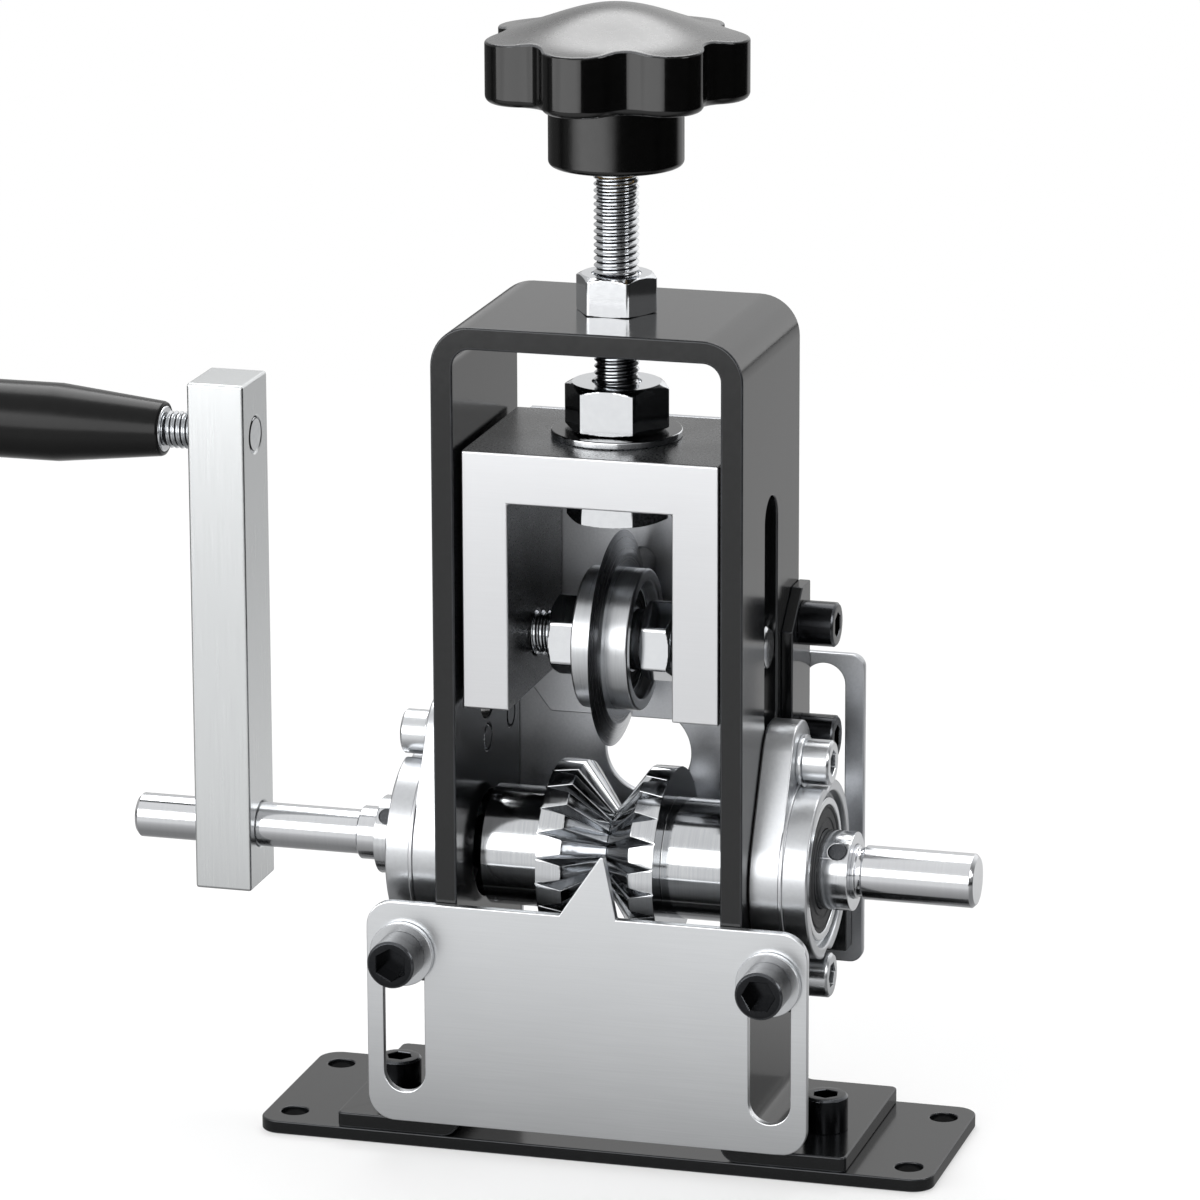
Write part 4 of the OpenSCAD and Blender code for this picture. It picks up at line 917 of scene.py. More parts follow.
@dataclass
class Stand:
    """The base plate, the bent frame and what is bolted to them."""

    fasteners: FastenerMaker
    foot_top: float = 6.5
    foot_screw_x: float = 49.5
    foot_screw_y: float = -6.5
    leg_x: float = 35.0
    frame_top: float = 188.0
    shaft_z: float = 64.5
    flange_half: float = 24.5
    flange_t: float = 7.0
    screw_z: float = 46.0
    front_x: float = 41.8
    rear_x: float = 40.8
    washer_y: float = 28.9
    strap_t: float = 2.6
    strap_y: float = 18.0
    strap_z: tuple[float, float] = (89.5, 115.5)
    strip_t: float = 5.0
    plate_screw_l: float = 8.7
    bearing_washer: tuple[float, float] = (5.9, 1.2)
    plate_washer: tuple[float, float] = (7.25, 1.5)
    washer_bore_r: float = 3.05

    def build(self) -> None:
        """Builds and dresses every piece of the stand."""
        self.plates()
        self.screws()
        self.washers()

    def plates(self) -> None:
        """The painted strip and plate work."""
        # The rounded edges take the lighter edge paint: partly rubbed paint, partly a painted highlight
        paint = (BLACK_PAINT, RUBBED_PAINT_AND_HIGHLIGHT)
        for node, ease in (("base_plate", 0.35), ("frame", 0.45), ("front_lugs", 0.35),
                           ("rear_lugs", 0.35), ("side_straps", 0.3)):
            add_piece(node + "_steel", eased(node, ease, rim=True), paint, "stand",
                      "black_painted_steel", node)
        nut = placed(hex_nut("top_nut_turned", 16, 8.4, 0.3), at=(0, 0, self.frame_top), spin=0.5)
        add_piece("top_nut_turned", nut, [BRIGHT_ZINC], "stand", "bright_zinc", "top_nut")

    def both_sides(self, x: float, y: float, heights: Sequence[float],
                   axis: Axis | None = None) -> list[Place]:
        """Lists the seats of a set that is the same on both sides.

        Args:
            x: The seats' distance from the middle.
            y: Their place front to back.
            heights: Their heights on each side.
            axis: Where the heads look, or nothing where they look outward.

        Returns:
            The place and the direction of each.
        """
        return [((side.value * x, y, z), axis or side.out) for side in Side for z in heights]

    def bearing_z(self) -> tuple[float, float]:
        """The heights of the screws of a bearing housing."""
        return self.shaft_z - self.flange_half, self.shaft_z + self.flange_half

    def screws(self) -> None:
        """The socket screws, in sets of one kind each."""
        flange_x = self.leg_x + self.flange_t + self.bearing_washer[1]
        strap_x = self.leg_x + self.strap_t
        plain = SocketScrew(self.foot_top)
        strap = SocketScrew(self.strap_t + self.strip_t)
        bearing = SocketScrew(flange_x - self.leg_x + self.strip_t, head_h=6.0, key_depth=3.5)
        # The guide plates' screws have a little room in the slots' ends
        plate = SocketScrew(self.plate_screw_l, shank_d=5.8, head_d=10.8, key=6.4)
        oxide, zinc = (BLACK_OXIDE, "black_oxide_screws"), (SATIN_ZINC, "bright_zinc")
        for node, screw, (finish, slot), seed, places in (
                ("foot_screws", plain, oxide, 3,
                 self.both_sides(self.foot_screw_x, self.foot_screw_y, [self.foot_top], Axis.PLUS_Z)),
                ("front_plate_screws", plate, oxide, 5,
                 self.both_sides(self.front_x, -self.washer_y, [self.screw_z], Axis.MINUS_Y)),
                ("rear_plate_screws", plate, oxide, 8,
                 self.both_sides(self.rear_x, self.washer_y, [self.screw_z], Axis.PLUS_Y)),
                ("strap_screws", strap, oxide, 11, self.both_sides(strap_x, self.strap_y, self.strap_z)),
                ("bearing_screws", bearing, zinc, 14, self.both_sides(flange_x, 0, self.bearing_z()))):
            mesh = self.fasteners.spread(node + "_set", screw.mesh(), places, finish, seed)
            self.chamfers_and_tips(mesh, Vector(places[0][1].value), finish is BLACK_OXIDE)
            add_piece(node + "_set", mesh, [finish, WORN_OXIDE_AND_HIGHLIGHT, BLACK_PAINT], "stand", slot, node)

    def chamfers_and_tips(self, mesh: bpy.types.Mesh, along: Vector, worn: bool) -> None:
        """Gives a set of screws pale chamfers, partly worn oxide and partly a painted highlight, and paints
        the tips that show inside the frame.

        Args:
            mesh: The screws, changed in place.
            along: The line of their axes.
            worn: Whether their chamfers take the pale finish, partly worn oxide and partly a painted
                highlight.
        """
        inside = (self.leg_x - self.strip_t / 2) * MM
        for face in mesh.polygons:
            lean = abs(face.normal.dot(along))
            tip = lean > 0.9 and abs(face.center.x) < inside and abs(along.x) > 0
            face.material_index = 2 if tip else int(0.3 < lean < 0.95 and worn)

    def washers(self) -> None:
        """The washers under the zinc-plated and the black screws."""
        under = self.washer_y - self.plate_washer[1]
        for node, (radius, thick), places in (
                ("bearing_washers", self.bearing_washer,
                 self.both_sides(self.leg_x + self.flange_t, 0, self.bearing_z())),
                ("front_plate_washers", self.plate_washer,
                 self.both_sides(self.front_x, -under, [self.screw_z], Axis.MINUS_Y)),
                ("rear_plate_washers", self.plate_washer,
                 self.both_sides(self.rear_x, under, [self.screw_z], Axis.PLUS_Y))):
            washer = ring("washer", radius, self.washer_bore_r, 0, thick, 0.25, 72)
            mesh = self.fasteners.spread(node + "_set", washer, places, SATIN_ZINC)
            add_piece(node + "_set", mesh, [SATIN_ZINC], "stand", "bright_zinc", node)


@dataclass(frozen=True)
class Bearing:
    """A ball bearing along an axis, without its inner race."""

    name: str
    body: str
    outer_r: float
    race_r: float
    seal_r: float
    low: float
    high: float
    ease: float
    seal_in: float = 0.3
    seal_t: float = 0.6

    def build(self, axis: Axis, at: Sequence[float]) -> None:
        """Builds and dresses the outer race and the seals, and dresses the balls and the cage.

        Args:
            axis: The way that the bearing looks.
            at: Its origin in millimetres.
        """
        race = ring(self.name + "_outer_race", self.outer_r, self.race_r, self.low, self.high, self.ease)
        add_piece(self.name + "_outer_race", smoothed(placed(race, axis, at)), [BEARING_STEEL], self.body,
                  "bearing_steel", self.name + "_outer_ring")
        seals = merged(self.name + "_seals", [
            pressed_seal(self.seal_r, self.race_r, self.low + self.seal_in, -1),
            pressed_seal(self.seal_r, self.race_r, self.high - self.seal_in - self.seal_t, 1)])
        add_piece(self.name + "_seals", smoothed(placed(seals, axis, at)), [NITRILE_SEAL], self.body,
                  "dark_seal", self.name + "_shields")
        dress_node(self.name + "_balls", BEARING_STEEL)
        dress_node(self.name + "_cage", TURNED_BRASS)


@dataclass
class FlangeBearing:
    """One flange housing with its ball bearing."""

    side: Side
    leg_x: float = 35.0
    shaft_z: float = 64.5
    flange_t: float = 7.0
    boss_r: float = 20.0
    bead: float = 0.45

    def build(self) -> None:
        """Builds and dresses the housing and its bearing."""
        name = self.side.name.lower()
        axis = self.side.out
        at = (self.side.value * self.leg_x, 0, self.shaft_z)
        # A bead runs round the foot of the boss, partly sunk in the casting
        bead = ring(name + "_bead", self.boss_r + self.bead, self.boss_r - 0.5, self.flange_t - 0.3,
                    self.flange_t + 0.75, 0.35)
        housing = merged(name + "_housing_casting", [
            eased(name + "_housing", 0.5), smoothed(placed(bead, axis, at))])
        add_piece(name + "_housing_casting", housing, [CAST_ALLOY], "stand", "cast_housing",
                  name + "_housing")
        Bearing(name, "stand", 16.0, 14.2, 9.0, 2.5, 12.5, 0.4).build(axis, at)
        add_piece(name + "_inner_race", eased(name + "_inner_ring", 0.25, 2), [BEARING_STEEL], "drive",
                  "bearing_steel", name + "_inner_ring")


@dataclass
class FeedDrive:
    """The shaft with the toothed roller."""

    shaft_z: float = 64.5
    shaft_r: float = 6.0
    crank_r: float = 5.0
    step_x: float = -59.5
    crank_end_x: float = -112.5
    groove_x: float = 55.5
    groove_w: float = 1.2
    groove_deep: float = 0.5
    drive_end_x: float = 82.0
    chamfer: float = 0.8

    def build(self) -> None:
        """Builds and dresses the shaft, the roller and the grub screws."""
        r, c, cut, deep = self.shaft_r, self.crank_r, self.chamfer, self.groove_deep
        low, high = self.groove_x, self.groove_x + self.groove_w
        outline = [(0.0, self.crank_end_x), (c - cut, self.crank_end_x), (c, self.crank_end_x + cut),
                   (c, self.step_x), (r - 0.3, self.step_x), (r, self.step_x + 0.3), (r, low - 0.2),
                   (r - deep, low), (r - deep, high), (r, high + 0.2), (r, self.drive_end_x - cut),
                   (r - cut, self.drive_end_x), (0.0, self.drive_end_x)]
        shaft = turned("shaft_ground", rounded(outline, 0.25, 3, False), 96, False)
        add_piece("shaft_ground", smoothed(placed(shaft, Axis.PLUS_X, (0, 0, self.shaft_z))), [GROUND_SHAFT],
                  "drive", "ground_shaft_steel", "drive_shaft")
        add_piece("feed_roller_milled", eased("feed_roller", 0.18, 2, 24), [TOOL_STEEL], "drive",
                  "polished_roller_steel", "feed_roller")
        for node, finish in (("roller_grub_screws", BLACK_OXIDE), ("ring_grub_screws", WORN_OXIDE_AND_HIGHLIGHT)):
            add_piece(node + "_set", eased(node, 0.2, 2), [finish], "drive", "black_oxide_screws", node)


@dataclass
class CrankHandle:
    """The crank arm with its revolving handle."""

    threads: ThreadMaker
    axis_z: float = 154.9
    arm_inner_x: float = -83.5
    grip_x: float = -104.4
    ferrule_w: float = 2.4
    ferrule_r: float = 5.2
    small_r: float = 6.2
    grip_r: float = 8.8
    taper: float = 25.0
    length: float = 80.0
    end_r: float = 6.0
    recess: float = 7.0
    recess_r: float = 5.3
    bore_r: float = 3.05
    stud_r: float = 3.0
    stud_l: float = 61.0
    screw_in: float = 73.2

    def build(self) -> None:
        """Builds and dresses the arm, the stud and the handle."""
        add_piece("crank_arm_bar", eased("crank_arm", 0.7), [DRAWN_BAR], "drive", "satin_bar_steel",
                  "crank_arm")
        add_piece("arm_grub_screw_set", eased("arm_grub_screw", 0.2, 2), [BLACK_OXIDE], "drive",
                  "black_oxide_screws", "arm_grub_screw")
        at = (self.grip_x, 0, self.axis_z)
        bare = self.threads.rod("stud_thread", self.arm_inner_x - self.grip_x - 0.3, 8.4, 1.25)
        placed(bare, Axis.MINUS_X, (self.arm_inner_x, 0, self.axis_z))
        r, tip_r, end = self.stud_r, self.stud_r - 0.95, self.stud_l
        core = turned("stud_core", rounded([(0.0, -1.3), (r, -1.3), (r, end), (tip_r, end + 0.5),
                                            (tip_r, end + 1), (0.0, end + 1)], 0.2, 2, False), 64, False)
        placed(core, Axis.MINUS_X, at)
        add_piece("handle_stud_threaded", merged("handle_stud_threaded", [bare, smoothed(core)]),
                  [ROLLED_THREAD, THREAD_VALLEY_SHADE], "drive", "threaded_steel", "handle_stud")
        screw = SocketScrew(10, shank_d=4, head_h=3.5, key_depth=1.75).mesh()
        placed(screw, Axis.MINUS_X, (at[0] - self.screw_in, 0, at[2]))
        add_piece("handle_end_screw_head", smoothed(screw, 32), [ROLLED_THREAD], "drive", "threaded_steel",
                  "handle_end_screw")
        ferrule = ring("handle_ferrule_ring", self.ferrule_r, self.bore_r, 0.0, self.ferrule_w - 0.1, 0.5)
        add_piece("handle_ferrule_ring", smoothed(placed(ferrule, Axis.MINUS_X, at)), [ROLLED_THREAD],
                  "handle", "threaded_steel", "handle_ferrule")
        add_piece("handle_grip_moulded", smoothed(placed(self.grip(), Axis.MINUS_X, at), 50), [PHENOLIC_GRIP],
                  "handle", "black_bakelite", "handle_grip")

    def grip(self) -> bpy.types.Mesh:
        """The moulded grip along +Z from its small end."""
        seat, small = self.ferrule_r, self.small_r
        outline = [(self.bore_r, self.ferrule_w), (seat + 0.02, self.ferrule_w), (seat + 0.02, 0.5),
                   (seat + 0.25, 0.25), (small - 0.7, 0.25), (small - 0.2, 0.45), (small, 0.95)]
        outline += rounded([(small, 0.95), (self.grip_r, self.taper), (self.grip_r, self.taper + 30)],
                           2.5, 6, False)[1:]
        for share in np.linspace(0, 1, 12):
            angle = share * QUARTER
            outline.append((self.grip_r - self.end_r * (1 - math.cos(angle)),
                            self.length - self.end_r * (1 - math.sin(angle)) - 0.4 * share))
        mouth, floor = self.recess_r, self.length - self.recess
        outline += [(mouth + 0.3, self.length - 0.42), (mouth, self.length - 0.8), (mouth, floor),
                    (self.bore_r, floor)]
        return turned("handle_grip_moulded", outline, 128)


@dataclass
class Carriage:
    """The sliding carriage, with its washers, axle and nuts."""

    threads: ThreadMaker
    top_z: float = 160.0
    beam_z: float = 148.5
    blade_z: float = 114.0
    axle_half: float = 34.5
    thread_d: float = 9.95
    nut_x: float = 6.75
    nut_h: float = 7.2
    nut_flats: float = 16.0
    washers: tuple[tuple[float, float], tuple[float, float]] = ((14.5, 1.7), (12.5, 1.2))
    washer_bore_r: float = 5.3
    wall_y: float = 22.5
    guard_y: float = 24.95
    guard_half: float = 12.5

    def build(self) -> None:
        """Builds and dresses the carriage."""
        block = eased("carriage_block", 0.5, rim=True)
        for face in block.polygons:
            face.material_index = 1 if face.material_index == 1 and face.normal.y < -0.3 else 0
        faces_toward(block, Axis.MINUS_Y, 1)
        add_piece("carriage_block_steel", block, [BLACKENED_STEEL, GROUND_FACE], "carriage",
                  "blackened_carriage_steel", "carriage_block")
        back = merged("carriage_back_sheet", [eased("carriage_back", 0.25), self.guard()])
        add_piece("carriage_back_sheet", back, [DULL_SHEET], "carriage", "satin_plate_steel", "carriage_back")
        (top_r, top_t), (low_r, low_t) = self.washers
        washers = [ring("upper", top_r, self.washer_bore_r, self.top_z, self.top_z + top_t, 0.4),
                   ring("lower", low_r, self.washer_bore_r, self.beam_z - low_t, self.beam_z, 0.3)]
        pressed = smoothed(merged("carriage_washers_pressed", washers))
        # The washers' upward faces take the dark oxide finish: painted shade on their tops
        faces_toward(pressed, Axis.PLUS_Z, 1)
        add_piece("carriage_washers_pressed", pressed, [BRIGHT_ZINC, BLACK_OXIDE], "carriage", "bright_zinc",
                  "carriage_washers")
        axle = self.threads.rod("blade_axle_threaded", 2 * self.axle_half, self.thread_d)
        add_piece("blade_axle_threaded", placed(axle, Axis.PLUS_X, (-self.axle_half, 0, self.blade_z)),
                  [ROLLED_THREAD, THREAD_VALLEY_SHADE], "carriage", "threaded_steel", "blade_axle")
        nuts = [placed(hex_nut("nut", self.nut_flats, self.nut_h), side.out,
                       (side.value * self.nut_x, 0, self.blade_z)) for side in Side]
        add_piece("axle_nuts_turned", merged("axle_nuts_turned", nuts), [BRIGHT_ZINC], "carriage",
                  "bright_zinc", "axle_nuts")
        for node in ("blade_inner_ring", "blade_spacers"):
            add_piece(node + "_ground", eased(node, 0.2, 2), [BEARING_STEEL], "carriage", "bearing_steel",
                      node)

    def guard(self) -> bpy.types.Mesh:
        """The shallow guard pressed over the blade's slot, behind the back wall."""
        back, front = self.guard_y, self.wall_y - 0.1
        outline = [(0.5, back), (3.8, back), (4.4, back - 0.2), (4.6, back - 0.8), (4.6, front), (4.0, front),
                   (4.0, back - 0.9), (3.6, back - 0.45), (0.5, back - 0.45)]
        loops = []
        for radius, depth in outline:
            loop = circle(radius, depth, 48)
            loop[:, 1] += np.sign(np.round(loop[:, 1], 6)) * self.guard_half
            loops.append(loop)
        return smoothed(placed(loft("blade_guard", loops), Axis.PLUS_Y, (0, 0, self.blade_z)))


@dataclass
class Blade:
    """The round blade with its hub and the outer part of its bearing."""

    axis_z: float = 114.0
    radius: float = 24.0
    hub_r: float = 15.75
    seat_r: float = 13.0
    half_hub: float = 6.45
    half_t: float = 1.5
    bevel: float = 5.0

    def build(self) -> None:
        """Builds and dresses the blade."""
        at = (0, 0, self.axis_z)
        flat_r, t = self.radius - self.bevel, self.half_t
        half = [(self.hub_r, -t), (flat_r - 0.1, -t), (flat_r + 0.1, 0.05 - t), (self.radius - 0.06, -0.03)]
        other = [(r, -x) for r, x in half[::-1]]
        disc = turned("blade_disc_ground", half + [(self.radius, 0.0)] + other, 144)
        add_piece("blade_disc_ground", smoothed(placed(disc, Axis.PLUS_X, at), 12), [BLADE_STEEL], "blade",
                  "blade_steel", "blade_disc")
        hub = ring("blade_hub_turned", self.hub_r, self.seat_r, -self.half_hub, self.half_hub, 0.6)
        add_piece("blade_hub_turned", smoothed(placed(hub, Axis.PLUS_X, at)), [HUB_STEEL], "blade",
                  "blade_steel", "blade_hub")
        Bearing("blade", "blade", self.seat_r, 11.2, 7.5, -4.0, 4.0, 0.35).build(Axis.PLUS_X, at)


@dataclass
class AdjustingScrew:
    """The screw with its star knob and its lock nuts."""

    threads: ThreadMaker
    low_z: float = 140.3
    top_z: float = 241.2
    hub_z: float = 220.3
    hub_h: float = 15.0
    hub_r: float = 14.8
    side_h: float = 13.4
    dome_h: float = 7.0
    radius: float = 29.2
    lobes: int = 7
    lobe_r: float = 8.5
    hollow_r: float = 6.0
    turn: float = -70.0
    rim_r: float = 0.55
    foot_r: float = 1.7
    bell: float = 0.85
    crown_and_highlight_lean: tuple[float, float] = (0.25, 0.86)
    hub_ease: float = 1.2
    pole_r: float = 25.0
    thread_d: float = 9.95
    insert_r: float = 7.0
    insert_h: float = 20.0

    def build(self) -> None:
        """Builds and dresses the screw, the nuts and the knob."""
        rod = self.threads.rod("adjusting_screw_threaded", self.top_z - self.low_z, self.thread_d)
        add_piece("adjusting_screw_threaded", placed(rod, at=(0, 0, self.low_z)),
                  [ROLLED_THREAD, THREAD_VALLEY_SHADE], "screw", "threaded_steel", "adjusting_screw")
        for node, flats, height, low in (
                ("upper_lock_nut", 20.5, 10.3, 161.9), ("lower_lock_nut", 20.0, 5.8, 141.3)):
            nut = placed(hex_nut(node + "_turned", flats, height, 0.5), at=(0, 0, low), spin=2.5)
            add_piece(node + "_turned", nut, [BRIGHT_ZINC], "screw", "bright_zinc", node)
        knob = smoothed(placed(self.knob(), at=(0, 0, self.hub_z), spin=self.turn), 50)
        brim = (self.hub_z + self.hub_h + self.side_h - 0.1) * MM
        low, high = self.crown_and_highlight_lean
        # Faces above the brim that look up take the duller crown, and those leaning outward round the rim
        # take the painted highlight
        for face in knob.polygons:
            above = face.center.z > brim
            face.material_index = above * (int(face.normal.z > low) + int(low < face.normal.z < high))
        add_piece("knob_moulded", knob, [PHENOLIC, PHENOLIC_CROWN, PHENOLIC_RIM_HIGHLIGHT], "screw", "black_bakelite",
                  "knob")
        insert = ring("knob_insert_turned", self.insert_r, 5.05, self.hub_z, self.hub_z + self.insert_h, 0.3)
        add_piece("knob_insert_turned", smoothed(insert), [TURNED_BRASS], "screw", "brass", "knob_insert")

    def outline(self) -> tuple[np.ndarray, np.ndarray]:
        """The lobed outline's points and the direction outward at each.

        Returns:
            The points and the unit normals, both with two columns.
        """
        step = math.pi / self.lobes
        end_way = np.array([math.cos(step), math.sin(step)])
        tip_r = self.radius - self.lobe_r
        reach = self.lobe_r + self.hollow_r
        tip = tip_r * end_way
        hollow = np.array([tip[0] + math.sqrt(reach ** 2 - tip[1] ** 2), 0.0])
        touch = math.atan2(*(hollow - tip)[::-1])
        # Half a lobe: the hollow's arc, the tip's arc and the tip's end
        points, normals = [], []
        for centre, radius, sign, start, end in (
                (hollow, self.hollow_r, -1, math.pi, touch + math.pi), (tip, self.lobe_r, 1, touch, step)):
            for angle in np.linspace(start, end, 13)[:-1]:
                way = np.array([math.cos(angle), math.sin(angle)])
                points.append(centre + radius * way)
                normals.append(sign * way)
        found = []
        for half, last in ((np.array(points), self.radius * end_way), (np.array(normals), end_way)):
            lobe = np.concatenate([(half * (1, -1))[:0:-1], half, [last]])
            turns = [np.array([[math.cos(a), math.sin(a)], [-math.sin(a), math.cos(a)]])
                     for a in np.arange(self.lobes) * 2 * step]
            found.append(np.concatenate([lobe @ turn for turn in turns]))
        return found[0], found[1]

    def knob(self) -> bpy.types.Mesh:
        """The moulded knob along +Z from the hub's underside."""
        points, ways = self.outline()
        angles = np.arctan2(points[:, 1], points[:, 0])
        unit = np.stack([np.cos(angles), np.sin(angles)], axis=1)
        low, high = self.hub_h, self.hub_h + self.side_h

        def level(xy: np.ndarray, z: float | np.ndarray) -> np.ndarray:
            """A loop of the skin at a height."""
            return np.column_stack([xy, np.broadcast_to(z, len(xy))])

        def dome(xy: np.ndarray) -> np.ndarray:
            """The bell-shaped top's height at each point."""
            far = np.hypot(xy[:, 0], xy[:, 1]) / self.radius
            fall = (1 - self.bell) * far ** 2 + self.bell * (1 - np.cos(math.pi * far)) / 2
            return high + self.dome_h * (1 - fall)

        loops = [level(unit * self.insert_r, self.insert_h), level(unit * self.insert_r, 0.4),
                 level(unit * (self.insert_r + 0.4), 0.0)]
        for angle in np.linspace(0, QUARTER, 6):
            in_r, up = self.hub_ease * (1 - math.sin(angle)), self.hub_ease * (1 - math.cos(angle))
            loops.append(level(unit * (self.hub_r - in_r), up))
        loops += [level(unit * (self.hub_r + out), low - under) for out, under in (
            (0.0, 1.5), (0.3, 0.4), (1.2, 0.0))]
        base, rim = self.foot_r, self.rim_r
        for angle in np.linspace(0, QUARTER, 7):
            xy = points - ways * base * (1 - math.sin(angle))
            loops.append(level(xy, low + base * (1 - math.cos(angle))))
        for angle in np.linspace(0, QUARTER, 6):
            inset = points - ways * rim * (1 - math.cos(angle))
            loops.append(level(inset, dome(inset) - rim * (1 - math.sin(angle))))
        inner = points - ways * rim
        for share in np.linspace(0.97, 0.0, 28):
            blend = share ** 0.8
            xy = inner * share * blend + unit * self.pole_r * share * (1 - blend)
            loops.append(level(xy, dome(xy)))
        return loft("knob_moulded", loops)


@dataclass
class GuidePlates:
    """The two slotted plates that guide the wire."""

    edge: float = 0.3

    def build(self) -> None:
        """Builds and dresses both plates."""
        for node, finish, body in (("front_plate", BRUSHED_SHEET, "front_guide"),
                                   ("rear_plate", DULL_SHEET, "rear_guide")):
            add_piece(node + "_sheet", eased(node, self.edge), [finish], body, "satin_plate_steel", node)


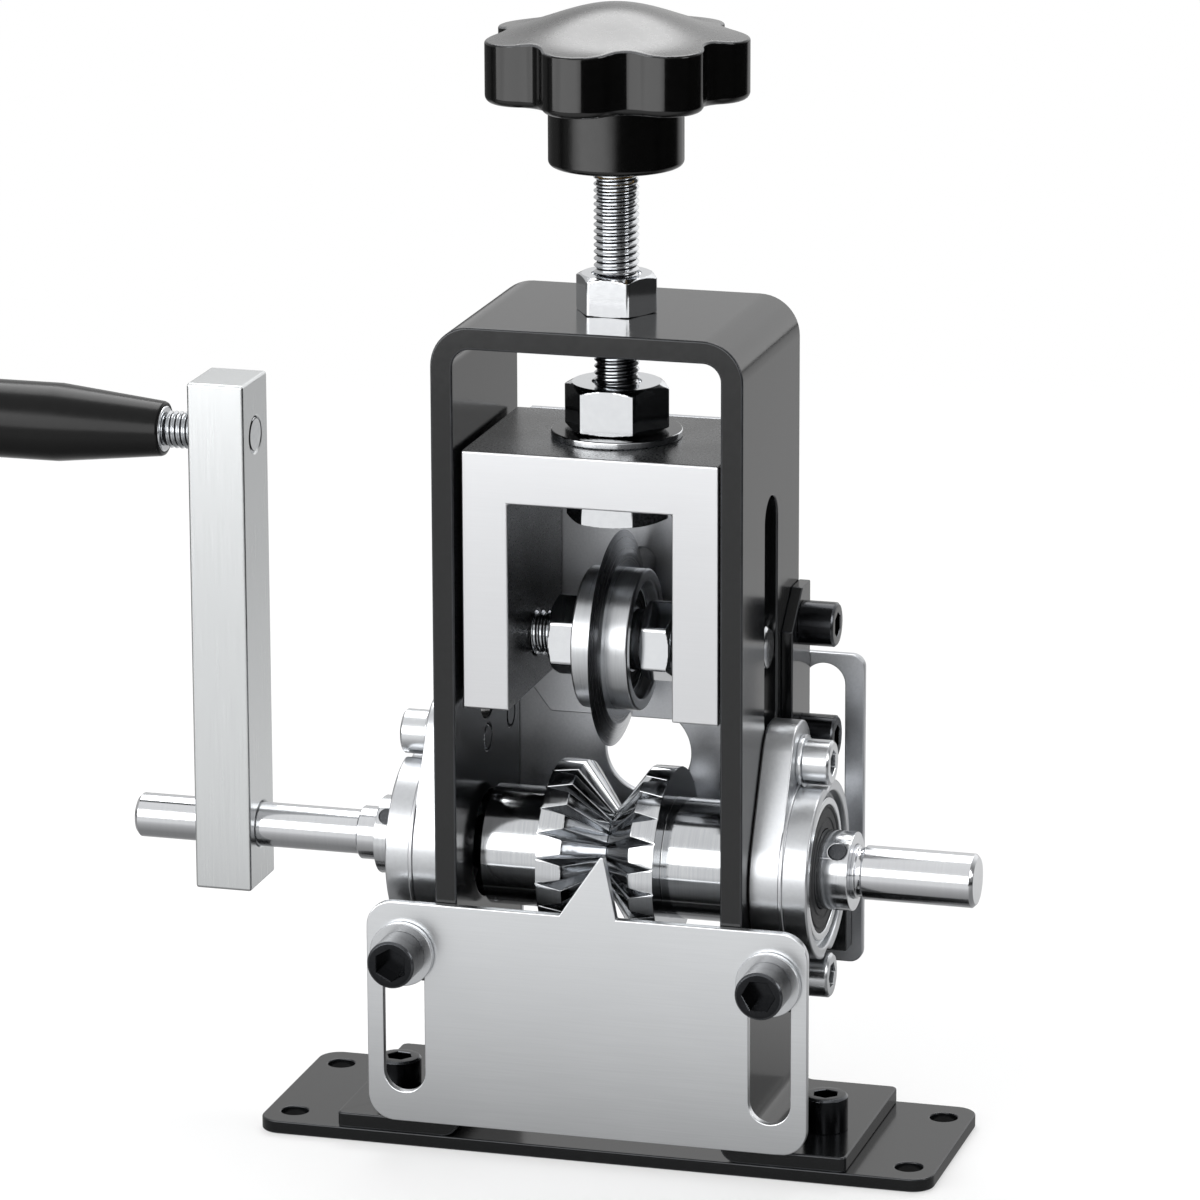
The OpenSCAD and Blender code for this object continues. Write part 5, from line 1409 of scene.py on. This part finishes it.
@dataclass
class Studio:
    """The pale floor, the soft light and the camera."""

    azimuth: float = 15.869
    elevation: float = 14.988
    roll: float = -0.191
    distance: float = 1488.134
    aim: tuple[float, float, float] = (-4.55, 1.99, 121.79)
    focal_px: float = 6737.95
    frame_px: float = 1200.0
    sensor: float = 36.0
    ambient: float = 0.42
    card_turns: tuple[float, float] = (78.0, -115.0)
    world_back: tuple[float, float, float] = (-0.6, 0.9, 1.2)
    world_edge: tuple[float, float] = (0.3, 0.8)
    world_cards: tuple[float, float] = (0.25, 0.5)
    floor_back: tuple[float, float, float] = (-0.05, 0.5, 0.65)
    floor_edge: tuple[float, float] = (0.35, 0.55)
    floor_cards: tuple[float, float] = (0.03, 0.2)
    floor_half: float = 6000.0
    floor_fade: tuple[float, float] = (0.18, 0.75)
    under: tuple[float, float] = (0.02, 0.22)

    def build(self) -> None:
        """Builds the studio."""
        self.camera()
        self.world()
        self.floor()
        self.lamps()
        settings = bpy.context.scene.view_settings
        settings.view_transform = "Standard"

    def camera(self) -> None:
        """Puts the camera where the photograph was taken from."""
        data = bpy.data.cameras.new("camera")
        data.sensor_width = self.sensor
        data.lens = self.focal_px / self.frame_px * self.sensor
        data.clip_start, data.clip_end = 0.05, 50
        camera = held("camera", data)
        a, e, r = (math.radians(v) for v in (self.azimuth, self.elevation, self.roll))
        back = Vector((math.sin(a) * math.cos(e), -math.cos(a) * math.cos(e), math.sin(e)))
        right = Vector((math.cos(a), math.sin(a), 0))
        up = Vector((-math.sin(a) * math.sin(e), math.cos(a) * math.sin(e), math.cos(e)))
        across = right * math.cos(r) + up * math.sin(r)
        rise = up * math.cos(r) - right * math.sin(r)
        turn = Matrix((across, rise, back)).transposed().to_4x4()
        camera.matrix_world = Matrix.Translation((Vector(self.aim) + back * self.distance) * MM) @ turn
        bpy.context.scene.camera = camera

    def world(self) -> None:
        """A soft grey surround that the camera and the bright metal see as white."""
        world = bpy.data.worlds.new("studio")
        bpy.context.scene.world = world
        world.use_nodes = True
        tree = world.node_tree
        path = add_node(tree, "ShaderNodeLightPath")
        way = add_node(tree, "ShaderNodeTexCoord").outputs["Generated"]
        pale = self.shading(tree, way, self.world_back, self.world_edge, self.world_cards)
        mirrored = maths(tree, "MAXIMUM", path.outputs["Is Glossy Ray"], path.outputs["Is Transmission Ray"])
        lit = add_node(tree, "ShaderNodeMix", {0: mirrored, 2: self.ambient, 3: pale}, data_type="FLOAT")
        strength = maths(tree, "MAXIMUM", lit.outputs[0], path.outputs["Is Camera Ray"])
        shown = tree.nodes["Background"]
        shown.inputs["Color"].default_value = WHITE
        tree.links.new(strength, shown.inputs["Strength"])

    def shading(self, tree: bpy.types.NodeTree, place: bpy.types.NodeSocket, back: Sequence[float],
                edge: Sequence[float], cards: Sequence[float]) -> bpy.types.NodeSocket:
        """Dims what polished pieces mirror towards the back and, as black cards do, at both sides.

        Args:
            tree: The world's or the floor's tree.
            place: The place or the direction that is mirrored.
            back: Where the dimming to the back starts and ends, and how bright it leaves the back.
            edge: Where a card's edge starts and ends.
            cards: How bright the right and the left side stay.

        Returns:
            The socket that gives the brightness.
        """
        depth = add_node(tree, "ShaderNodeSeparateXYZ", {0: place}).outputs[1]
        pale = mapped(tree, depth, back[:2], (1.0, back[2]))
        for degrees, dark in zip(self.card_turns, cards):
            turn = math.radians(degrees)
            beside = add_node(tree, "ShaderNodeVectorMath", {
                0: place, 1: (math.sin(turn), -math.cos(turn), 0)}, operation="DOT_PRODUCT")
            card = mapped(tree, beside.outputs["Value"], edge, (1.0, dark))
            pale = maths(tree, "MULTIPLY", pale, card)
        return pale

    def floor(self) -> None:
        """A plain pale floor that keeps the machine's shadow and mirrors darker near the machine."""
        corners = ((-1, -1), (1, -1), (1, 1), (-1, 1))
        mesh = new_mesh("floor", [(x * self.floor_half, y * self.floor_half, -0.2) for x, y in corners],
                        [(0, 1, 2, 3)])
        material = bpy.data.materials.new("pale_studio_floor")
        material.use_nodes = True
        tree = material.node_tree
        shader = tree.nodes["Principled BSDF"]
        shader.inputs["Base Color"].default_value = linear("#f4f4f4")
        shader.inputs["Roughness"].default_value = 0.9
        path = add_node(tree, "ShaderNodeLightPath")
        place = add_node(tree, "ShaderNodeTexCoord").outputs["Object"]
        far = add_node(tree, "ShaderNodeVectorMath", {0: place}, operation="LENGTH").outputs["Value"]
        fade = mapped(tree, far, self.floor_fade, (0.5, 1.0))
        shown = maths(tree, "MULTIPLY", path.outputs["Is Camera Ray"], fade)
        share = maths(tree, "MAXIMUM", shown, path.outputs["Is Glossy Ray"])
        depth = add_node(tree, "ShaderNodeSeparateXYZ", {0: place}).outputs[1]
        # The floor that the metal mirrors is darker close under the machine: a painted shadow
        near = mapped(tree, maths(tree, "ABSOLUTE", depth), self.under, (0.3, 1.0))
        pale = self.shading(tree, place, self.floor_back, self.floor_edge, self.floor_cards)
        white = maths(tree, "MAXIMUM", maths(tree, "MULTIPLY", pale, near), path.outputs["Is Camera Ray"])
        glow = add_node(tree, "ShaderNodeEmission", {"Color": WHITE, "Strength": white})
        mix = add_node(tree, "ShaderNodeMixShader", {0: share, 1: shader.outputs[0], 2: glow.outputs[0]})
        tree.links.new(mix.outputs[0], tree.nodes["Material Output"].inputs[0])
        mesh.materials.append(material)
        held("floor", mesh)

    def lamps(self) -> None:
        """A long panel near the machine's front left, and soft boxes at the front, the right and the back."""
        for name, at, aim, size, power in (
                ("near_panel", (-0.235, -0.441, 0.25), 0.25, (0.96, 0.3), 2.5),
                ("front_box", (-0.9, -1.2, 0.8), 0.12, (0.7, 0.7), 3.0),
                ("right_box", (1.5, -0.3, 0.7), 0.12, (0.6, 0.6), 5.0),
                ("back_box", (-0.2, 0.75, 1.45), 0.12, (1.2, 1.2), 20.0)):
            data = bpy.data.lights.new(name, "AREA")
            data.shape = "RECTANGLE"
            data.size, data.size_y = size
            data.energy = power
            lamp = held(name, data)
            lamp.location = at
            lamp.visible_camera = False
            lamp.rotation_euler = (Vector((0, 0, aim)) - Vector(at)).to_track_quat("-Z", "Y").to_euler()


def main() -> None:
    """Builds every sub-assembly in order, then the studio."""
    logging.basicConfig(level=logging.INFO, format="%(name)s: %(message)s")
    threads, fasteners = ThreadMaker(), FastenerMaker()
    parts = [Stand(fasteners), FlangeBearing(Side.LEFT), FlangeBearing(Side.RIGHT), FeedDrive(),
             CrankHandle(threads), Carriage(threads), Blade(), AdjustingScrew(threads), GuidePlates(),
             Studio()]
    for part in parts:
        LOG.info("building %s", type(part).__name__)
        part.build()
    bpy.context.view_layer.update()


if __name__ == "__main__":
    main()
